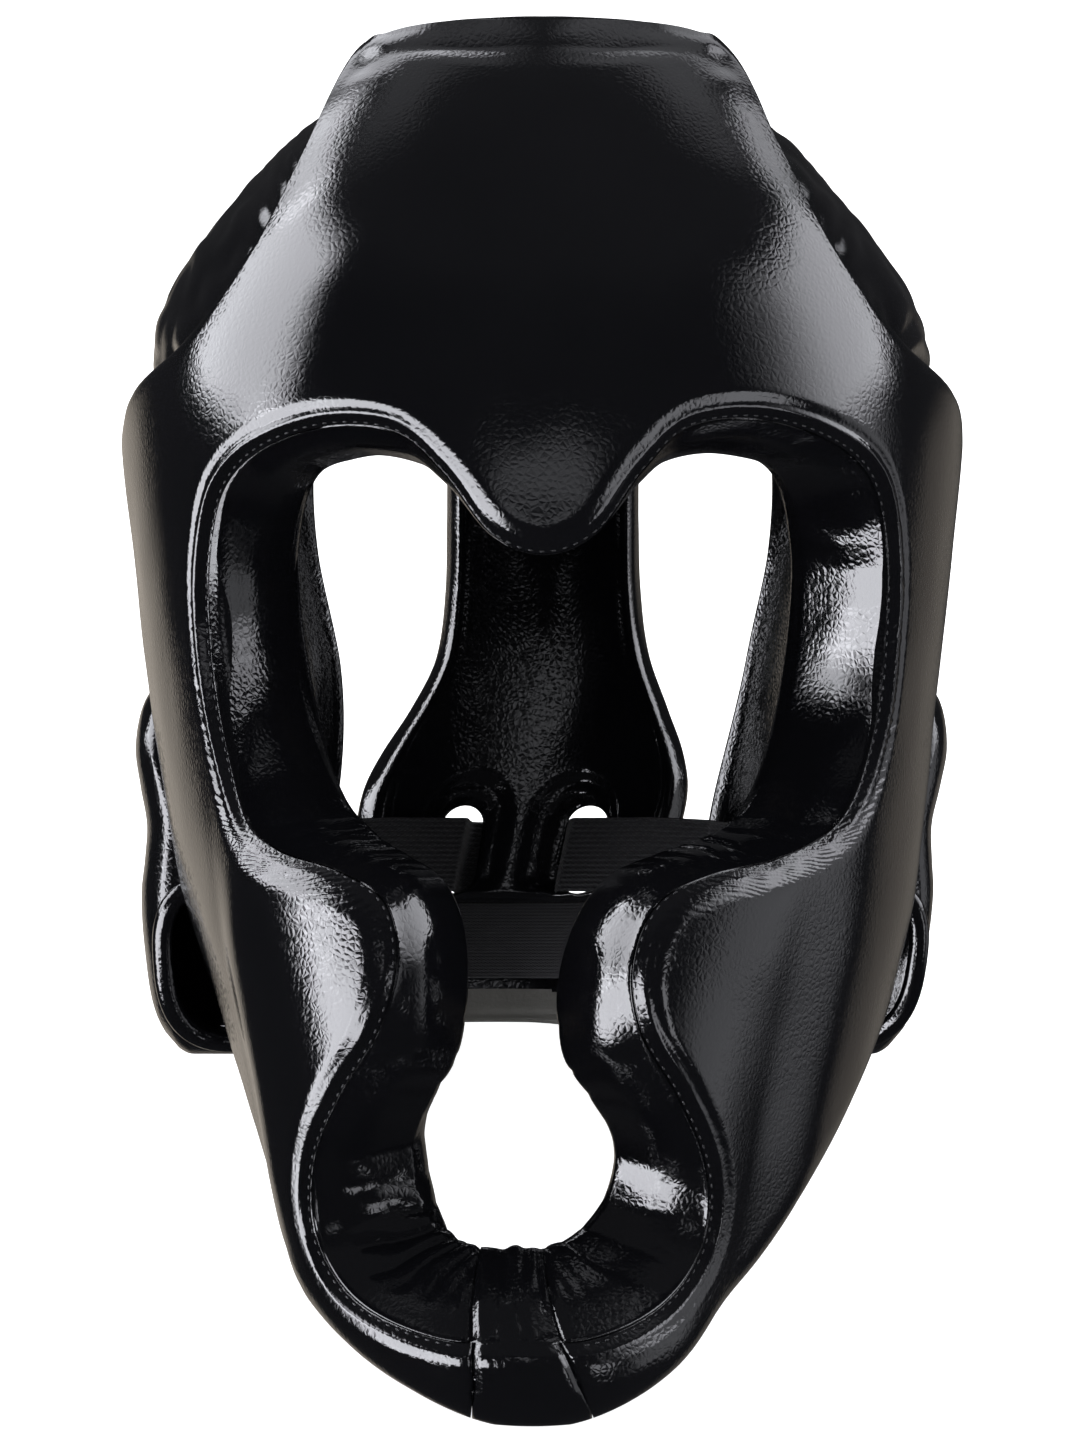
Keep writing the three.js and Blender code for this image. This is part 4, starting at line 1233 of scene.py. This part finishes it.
# The last angle of the crown strap, the height from which the pad goes on, and the length tucked in in front.
STRAP_REAR, REAR_TOP, STRAP_TUCK = 88, 58.0, 20
# Its thin edge and the rounding of it, the least half thickness, and the groove inside the edge.
REAR_THIN, REAR_ROUND, REAR_LEAST = 0.2, 2.6, 0.9
REAR_GROOVE, REAR_GROOVE_PLACE, REAR_GROOVE_WIDTH, REAR_GROOVE_CLEAR = 0.6, 3.2, 0.8, (3, 7)


class HEADGEAR_OT_rear_pad(bpy.types.Operator):
    """Padded strap over the crown that flares into the rear pad with its two slots"""
    bl_idname = "headgear.rear_pad"
    bl_label = "Rear pad"

    def execute(self, context):
        sizes = context.scene.headgear_sizes
        shares = np.sin(np.linspace(-1, 1, REAR_COLUMNS) * np.pi / 2)[None, :]
        angles = np.radians(np.linspace(math.degrees(STRAP_FRONT), STRAP_REAR, REAR_ROWS))[:, None]
        heights = lerp(REAR_TOP, REAR_BOTTOM, np.sin(np.linspace(0, np.pi / 2, REAR_ROWS)))[:, None]
        crown = hood_crown(angles, shares * STRAP_HALF)
        half_low = read_table(REAR_FLARE, "half", heights)
        back = hood_back(heights, shares * half_low)
        outer = np.concatenate([crown, back], axis=0)
        halves = np.concatenate([STRAP_HALF + 0 * angles, half_low], axis=0)
        normal = grid_normals(outer, unit(outer - REAR_CENTRE))
        side = (1 - np.abs(shares)) * halves
        centre_line = outer[:, shares.size // 2]
        travelled = np.cumsum(np.linalg.norm(np.diff(centre_line, axis=0), axis=-1))
        travelled = np.concatenate([[0], travelled])[:, None]
        end = np.minimum(travelled[-1] - travelled, travelled + STRAP_TUCK)
        slot = slot_distance(outer[..., 0], outer[..., 2])
        free = np.minimum(side, end)
        full = (1 - REAR_THIN) * rounding(free, REAR_ROUND) * rounding(slot + SLOT_LIP, SLOT_EDGE)
        half = HOOD_THICK / 2 * (REAR_THIN + full)
        clear = smoothstep(end, *SLOT_CLEAR)
        sunken = SLOT_SUNK * (1 - smoothstep(slot, *SLOT_SHOULDER)) * clear
        rim = SLOT_RIM * bell(slot - SLOT_RIM_PLACE, SLOT_RIM_WIDTH) * clear
        groove = REAR_GROOVE * bell(free - REAR_GROOVE_PLACE, REAR_GROOVE_WIDTH)
        groove = groove * smoothstep(end, *REAR_GROOVE_CLEAR)
        groove = np.minimum(groove + sunken - rim, half - REAR_LEAST)
        uneven = mm(sizes.swell) * soft_noise(outer, 22.0, 41.0)
        middle = outer - normal * HOOD_THICK / 2
        rings, faces = plate(middle, normal, half, uneven - groove, uneven - groove)
        pad = mesh_object("rear_pad_padding", [(rings, faces)])
        for sign in (-1, 1):
            cut_slot(pad, sign)
        dress(pad, material("padded_leather"), ["rear_pad"])
        return {"FINISHED"}


def slot_outline(sign):
    """Outline of one upright slot in the front view, as x and z."""
    turn = np.linspace(0, 2 * np.pi, 64, endpoint=False)
    straight = (SLOT_HEIGHT - SLOT_WIDTH) / 2
    radius = SLOT_WIDTH / 2
    x = sign * SLOT_X + radius * np.cos(turn)
    z = SLOT_Z + radius * np.sin(turn) + straight * np.sign(np.sin(turn) + 1e-9)
    return x, z


def slot_distance(x, z):
    """Distance in the front view from the nearer slot's outline, negative inside it."""
    straight = (SLOT_HEIGHT - SLOT_WIDTH) / 2
    above = np.maximum(np.abs(z - SLOT_Z) - straight, 0)
    return np.hypot(np.abs(x) - SLOT_X, above) - SLOT_WIDTH / 2


def cut_slot(pad, sign):
    """Cuts one slot through the rear pad."""
    x, z = slot_outline(sign)
    rings = np.stack([np.stack([x, 0 * x + y, z], axis=-1) for y in SLOT_CUT])
    subtract(pad, mesh_object("slot_cutter", [(rings, closed_loops(rings))]))


def wing_row_at(z, share):
    """Row of the side panel at which its outer face has a given height."""
    low, high = 0.0, float(LAST_ROW)
    for _ in range(HALVINGS):
        middle = (low + high) / 2
        if plain_wing(middle, share)[2] < z:
            low = middle
        else:
            high = middle
    return low


def plain_wing(row, share):
    """Point of the outer face of the right side panel at its full swell."""
    return wing_point(row, share, 1.0)


def band_sections(band, wing_depth, hood_depth):
    """Top and bottom edges of a band across the back and its inward direction, section by section."""
    edges = []
    for name in ("top", "bottom"):
        z = band[name]
        points = []
        inward = []
        for share in band["shares"]:
            row = wing_row_at(z, share)
            normal = -normal_of(plain_wing, max(row, 0.02), min(share, 0.99), 0.01, 0.005)
            points.append(plain_wing(row, share) - normal * wing_depth)
            inward.append(-normal)
        for x in band["places"]:
            normal = normal_of(hood_back, z, x, 0.05, 0.05)
            normal = normal * np.sign(normal[1])
            points.append(hood_back(z, x) - normal * hood_depth(x))
            inward.append(-normal)
        mirror = MIRROR["left"]
        points = np.array(points + [p * mirror for p in reversed(points)])
        inward = np.array(inward + [p * mirror for p in reversed(inward)])
        edges.append((points, inward))
    return edges


def refine(points):
    """Smooth curve through points, with even steps between each pair."""
    at = np.linspace(0, len(points) - 1, (len(points) - 1) * BAND_STEPS + 1)
    k = np.minimum(np.floor(at).astype(int), len(points) - 2)
    near = [points[np.clip(k + step, 0, len(points) - 1)] for step in (-1, 0, 1, 2)]
    return cubic(*near, (at - k)[:, None])


def band_plate(band, wing_depth, hood_depth, relief):
    """Closed band across the back; relief lifts its faces, at a share of its height."""
    thick, edge_round, columns = band["thick"], band["round"], band["columns"]
    (top, top_in), (bottom, bottom_in) = band_sections(band, wing_depth, hood_depth)
    shares = np.linspace(0, 1, columns)
    if edge_round > ELASTIC_ROUND:
        shares = (np.sin(np.linspace(-1, 1, columns) * np.pi / 2) + 1) / 2
    shares = shares[None, :, None]
    face = lerp(refine(top)[:, None], refine(bottom)[:, None], shares)
    inward = unit(lerp(refine(top_in)[:, None], refine(bottom_in)[:, None], shares))
    height = abs(band["top"] - band["bottom"])
    edge = np.minimum(shares[..., 0], 1 - shares[..., 0]) * height
    half = thick / 2 * (BAND_THIN + (1 - BAND_THIN) * rounding(edge, edge_round)) + 0 * face[..., 0]
    lift = relief(shares[..., 0]) + 0 * face[..., 0]
    return plate(face + inward * thick / 2, -inward, half, lift, lift)


class HEADGEAR_OT_bands(bpy.types.Operator):
    """Ribbed elastic through the slots, woven elastic below it and the leather strap at the nape"""
    bl_idname = "headgear.bands"
    bl_label = "Bands"

    def execute(self, context):
        sizes = context.scene.headgear_sizes

        def ribs(share):
            return -mm(sizes.rib_depth) * (0.5 + 0.5 * np.cos(2 * np.pi * sizes.rib_count * share))

        def fine_ribs(share):
            turns = FINE_RIB_SHARE * sizes.rib_count * share
            return -FINE_RIB_DEPTH * (0.5 + 0.5 * np.cos(2 * np.pi * turns))

        def through_slots(x):
            return lerp(BAND_OUTER - BAND_THICK, BAND_INNER + 1, smoothstep(x, *SLOT_RAMP))

        def below(x):
            return lerp(NAPE_MIDDLE, BAND_INNER, smoothstep(x, *NAPE_RAMP))

        def grooved(share):
            edge = np.minimum(share, 1 - share)
            return -STRAP_GROOVE * bell(edge - STRAP_GROOVE_PLACE, STRAP_GROOVE_WIDTH)

        rear = band_plate(REAR_BAND, BAND_INNER, through_slots, ribs)
        rear = mesh_object("rear_elastic_band", [rear])
        dress(rear, material("ribbed_webbing"), ["rear_elastic"])
        nape = band_plate(NAPE_BAND, BAND_INNER, below, fine_ribs)
        nape = mesh_object("nape_elastic_band", [nape])
        dress(nape, material("woven_webbing"), ["nape_elastic"])
        depth = -STRAP_THICK - 4 * GAP
        strap = band_plate(NAPE_STRAP, depth, lambda x: depth, grooved)
        strap = mesh_object("nape_strap_padding", [strap])
        dress(strap, material("padded_leather"), ["nape_strap"])
        strap.data.materials.append(material("lining"))
        # Faces above the lining's top stay black leather: a bound edge, and painted shade where the woven
        # band shadows the strap.
        for face in strap.data.polygons:
            faces_head = face.normal.y < LINING_FACING and abs(face.center.x) < LINING_REACH
            face.material_index = int(faces_head and face.center.z < LINING_TOP_BELOW_SHADED_EDGE)
        return {"FINISHED"}


def ear_front(z, inward):
    """The y of the front of the ear cup at a height and a depth below its outer face."""
    scale = (1 - (1 - np.clip(inward / EAR_ROUND, 0, 1)) ** 2) ** 0.2
    span = np.maximum(1 - np.abs((z - EAR_Z) / (scale * EAR_REACH_Z)) ** EAR_POWER, 0)
    return EAR_Y - scale * EAR_REACH_Y * span ** (1 / EAR_POWER)


def ear_lean(z):
    """The x of the outer face of the ear cup at a height."""
    return read_table(EAR_SIDE, "x", z)


def scoop_outline(grow):
    """Outline of the scoop of the ear cup as depths below the outer face and heights."""
    turn = np.linspace(0, 2 * np.pi, 72, endpoint=False)
    middle, half = (SCOOP_TOP + SCOOP_BOTTOM) / 2, (SCOOP_TOP - SCOOP_BOTTOM) / 2
    across = (SCOOP_HALF_DEPTH + grow) * signed_power(np.cos(turn), 2 / SCOOP_POWER_DEPTH)
    z = middle + (half + grow) * signed_power(np.sin(turn), 2 / SCOOP_POWER_Z)
    return EAR_WALL + SCOOP_HALF_DEPTH + across, z


class HEADGEAR_OT_ear_pads(bpy.types.Operator):
    """Padded cups over the ears, each with a scoop that opens forwards"""
    bl_idname = "headgear.ear_pads"
    bl_label = "Ear pads"

    def execute(self, context):
        sizes = context.scene.headgear_sizes
        turn = np.radians(np.linspace(0, 360, 120, endpoint=False))[None, :]
        face = np.concatenate([np.linspace(0.04, 0.9, 26), 1 - np.linspace(0.1, 0, 14)[1:] ** 1.5])
        wall = np.linspace(EAR_ROUND, EAR_DEPTH, 9)[1:]
        scale = np.concatenate([face, np.ones(wall.size)])[:, None]
        inward = np.concatenate([EAR_ROUND * (1 - np.sqrt(1 - face ** 5)), wall])[:, None]
        y = EAR_Y + scale * EAR_REACH_Y * signed_power(np.cos(turn), 2 / EAR_POWER)
        z = EAR_Z + scale * EAR_REACH_Z * signed_power(np.sin(turn), 2 / EAR_POWER)
        x = ear_lean(z) - inward
        cup = np.stack([x, y, z], axis=-1)
        cup[..., 0] += mm(sizes.swell) * soft_noise(cup, 18.0, 51.0)
        depth, height = scoop_outline(0.0)
        pocket = np.stack([np.stack([ear_lean(height) - depth, 0 * depth + y_at, height], axis=-1)
                           for y_at in (SCOOP_FRONT, SCOOP_BACK)])
        rim_depth, rim_z = scoop_outline(SCOOP_RIM_OUT)
        rim_y = ear_front(rim_z, rim_depth)
        rim_path = np.stack([ear_lean(rim_z) - rim_depth, rim_y, rim_z], axis=-1)
        along = unit(np.roll(rim_path, -1, axis=0) - np.roll(rim_path, 1, axis=0))
        forward = np.broadcast_to(np.array([0.0, -1.0, 0.0]), along.shape)
        side = unit(np.cross(along, forward))
        rim = round_cord(rim_path, side, forward, SCOOP_RIM_RADIUS, 14)
        for name, mirror in MIRROR.items():
            piece = mesh_object(f"ear_pad_{name}_cup", [(cup * mirror, closed_loops(cup))])
            cutter = mesh_object("scoop_cutter", [(pocket * mirror, closed_loops(pocket))])
            subtract(piece, cutter)
            dress(piece, material("padded_leather"), [f"ear_pad_{name}"])
            edge = mesh_object(f"ear_rim_{name}", [(rim[0] * mirror, rim[1])])
            dress(edge, material("padded_leather"))
        return {"FINISHED"}


def subtract(piece, cutter):
    """Takes a cutter out of a piece and removes the cutter."""
    cut = piece.modifiers.new("cut", "BOOLEAN")
    cut.object = cutter
    cut.operation = "DIFFERENCE"
    cut.solver = "EXACT"
    made = bpy.data.meshes.new_from_object(piece.evaluated_get(bpy.context.evaluated_depsgraph_get()))
    piece.modifiers.remove(cut)
    piece.data = made
    bpy.data.objects.remove(cutter)


class HEADGEAR_OT_stitches(bpy.types.Operator):
    """Row of thread along the seam of the opening"""
    bl_idname = "headgear.stitches"
    bl_label = "Stitches"

    def execute(self, context):
        sizes = context.scene.headgear_sizes
        relief = partial(pad_relief, sizes=sizes)
        numbers = np.linspace(-STITCH_END, STITCH_END, 900)
        section = PadSection(numbers)
        step = STITCH_PLACE / section.length / section.flat_end
        path = outer_face(numbers, step, relief)
        parts = stitches(path, section.normal(step * section.flat_end), sizes)
        dress(mesh_object("seam_stitches", parts), material("thread"))
        return {"FINISHED"}


# Studio lights, in metres: the place and size of each, and the point that they face. Then the floor's reach.
SOFTBOXES = {
    "left": ((-0.9, 0.1, 0.8), (0.9, 1.2)),
    "right": ((0.9, 0.1, 0.8), (0.9, 1.2)),
    "front": ((0.0, -1.1, 0.9), (0.9, 0.9)),
}
LIGHT_TARGET = (0, 0, 0.14)
FLOOR_REACH = 9.0


def softbox(name, centre, size, power, colour):
    """Rectangular studio light; the room's panels stand for it in reflections."""
    data = bpy.data.lights.new(name, "AREA")
    data.shape = "RECTANGLE"
    data.size, data.size_y = size
    data.energy = power
    data.color = colour
    lamp = bpy.data.objects.new(name, data)
    lamp.location = centre
    lamp.rotation_euler = (Vector(LIGHT_TARGET) - Vector(centre)).to_track_quat("-Z", "Y").to_euler()
    lamp.visible_glossy = False
    bpy.context.scene.collection.objects.link(lamp)


# Bright panels of the studio as the leather mirrors them, in degrees: bearings to the left of the front where
# each panel starts, is full, starts to fade and ends, the same for heights above the floor, its brightness,
# and whether it is warm.
PANELS = [
    ((68, 82, 114, 118), (3, 9, 40, 47), 9.5, False),
    ((110, 116, 134, 142), (32, 36, 41, 47), 7.0, False),
    ((50, 58, 78, 87), (-30, -24, 8, 15), 14.0, False),
    ((22, 31, 52, 58), (-18, -12, 3, 9), 14.0, False),
    ((-119, -114, -98, -52), (5, 12, 36, 42), 5.4, False),
    ((-138, -132, -118, -112), (34, 38, 43, 47), 3.0, False),
    ((-116, -96, -82, -66), (-26, -14, 4, 12), 1.0, False),
    ((-60, -54, -44, -38), (-18, -12, 3, 9), 3.0, False),
    ((-15, -5, 5, 15), (13, 18, 22, 28), 1.0, False),
    ((-179, -165, -125, -100), (46, 52, 60, 68), 0.5, False),
    ((100, 125, 165, 179), (47, 52, 60, 68), 0.3, False),
    ((-182, -181, 181, 182), (38, 52, 91, 92), 0.05, False),
    ((140, 146, 170, 176), (22, 28, 44, 50), 3.0, False),
    ((-176, -170, -146, -140), (22, 28, 44, 50), 1.2, False),
    ((134, 148, 166, 178), (-50, -36, -10, -2), 0.5, True),
    ((-172, -156, -138, -122), (-50, -36, -10, -2), 0.2, True),
]


def room_light(studio):
    """Pale room, which the leather mirrors as a dim one with bright panels and a warm far wall."""
    finish = Finish(bpy.data.worlds.new("pale_room"))

    def rise(value, start, end):
        sockets = {"Value": value, "From Min": math.radians(start), "From Max": math.radians(end)}
        return finish.node("ShaderNodeMapRange", {"interpolation_type": "SMOOTHSTEP"}, sockets)

    def glow(colour, strength):
        return finish.node("ShaderNodeBackground", {}, {"Color": (*colour, 1), "Strength": strength})

    towards = finish.node("ShaderNodeTexCoord", {}, {}, "Generated")
    across, back, up = (finish.axis(towards, name) for name in "XYZ")
    bearing = finish.node("ShaderNodeMath", {"operation": "ARCTAN2"}, {0: across * -1.0, 1: back * -1.0})
    height = finish.node("ShaderNodeMath", {"operation": "ARCSINE"}, {0: up})
    shine = {False: studio.gloom, True: 0.0}
    for (start, full, fade, end), (low, lit, dim, high), brightness, warm in PANELS:
        around = rise(bearing, start, full) * (1 - rise(bearing, fade, end))
        upright = rise(height, low, lit) * (1 - rise(height, dim, high))
        shine[warm] = shine[warm] + around * upright * brightness
    lights = {0: glow(studio.cool, shine[False]), 1: glow(studio.warm, shine[True])}
    mirrored = finish.node("ShaderNodeAddShader", {}, lights)
    pale = glow((1, 1, 1), studio.surround)
    glossy = finish.node("ShaderNodeLightPath", {}, {}, "Is Glossy Ray")
    light = finish.node("ShaderNodeMixShader", {}, {0: glossy, 1: pale, 2: mirrored})
    output = finish.tree.nodes.new("ShaderNodeOutputWorld")
    finish.tree.links.new(light.socket, output.inputs["Surface"])
    return finish.owner


class HEADGEAR_OT_stage(bpy.types.Operator):
    """Pale floor, studio lights and the camera of the photograph's view"""
    bl_idname = "headgear.stage"
    bl_label = "Stage"

    def execute(self, context):
        scene = context.scene
        studio = scene.headgear_studio
        floor_mesh = bpy.data.meshes.new("floor")
        corners = [(FLOOR_REACH * x, FLOOR_REACH * y, 0) for x, y in ((-1, -1), (1, -1), (1, 1), (-1, 1))]
        floor_mesh.from_pydata(corners, [], [(0, 1, 2, 3)])
        floor_mesh.materials.append(floor_finish(studio))
        floor = bpy.data.objects.new("floor", floor_mesh)
        floor.visible_glossy = False
        scene.collection.objects.link(floor)

        for name, (centre, size) in SOFTBOXES.items():
            softbox(f"{name}_softbox", centre, size, getattr(studio, f"{name}_power"), studio.cool)
        scene.world = room_light(studio)

        lens = bpy.data.cameras.new("photo_view")
        lens.sensor_width = SENSOR
        lens.lens = SENSOR * FOCAL_PIXELS / PHOTO_HEIGHT
        camera = bpy.data.objects.new("photo_view", lens)
        camera.location = (
            -BOX_MIDDLE[0] / MM_PER_METRE,
            (-math.cos(TILT) * EYE_DISTANCE - BOX_MIDDLE[1]) / MM_PER_METRE,
            (math.sin(TILT) * EYE_DISTANCE - FLOOR_DROP) / MM_PER_METRE,
        )
        camera.rotation_euler = (math.pi / 2 - TILT, 0, 0)
        scene.collection.objects.link(camera)
        scene.camera = camera
        scene.view_settings.view_transform = "Standard"
        return {"FINISHED"}


GROUPS = {
    "headgear_sizes": HeadgearSizes,
    "headgear_finish": HeadgearFinish,
    "headgear_studio": HeadgearStudio,
}
OPERATORS = (
    HEADGEAR_OT_face_shell, HEADGEAR_OT_face_roll, HEADGEAR_OT_chin_gusset, HEADGEAR_OT_wings,
    HEADGEAR_OT_rear_pad, HEADGEAR_OT_bands, HEADGEAR_OT_ear_pads, HEADGEAR_OT_stitches, HEADGEAR_OT_stage,
)


class HEADGEAR_PT_panel(bpy.types.Panel):
    """Lists the steps that build the headgear, with its sizes and colours"""
    bl_idname = "HEADGEAR_PT_panel"
    bl_label = "Headgear"
    bl_space_type = "VIEW_3D"
    bl_region_type = "UI"
    bl_category = "Headgear"

    def draw(self, context):
        for operator in OPERATORS:
            self.layout.operator(operator.bl_idname)
        for name in GROUPS:
            group = getattr(context.scene, name)
            for setting in group.__annotations__:
                self.layout.prop(group, setting)


def register():
    for cls in (*GROUPS.values(), *OPERATORS, HEADGEAR_PT_panel):
        bpy.utils.register_class(cls)
    for name, group in GROUPS.items():
        setattr(bpy.types.Scene, name, bpy.props.PointerProperty(type=group))


def unregister():
    for name in GROUPS:
        delattr(bpy.types.Scene, name)
    for cls in reversed((*GROUPS.values(), *OPERATORS, HEADGEAR_PT_panel)):
        bpy.utils.unregister_class(cls)


def main():
    register()
    for operator in OPERATORS:
        group, name = operator.bl_idname.split(".")
        getattr(getattr(bpy.ops, group), name)()


if __name__ == "__main__":
    main()
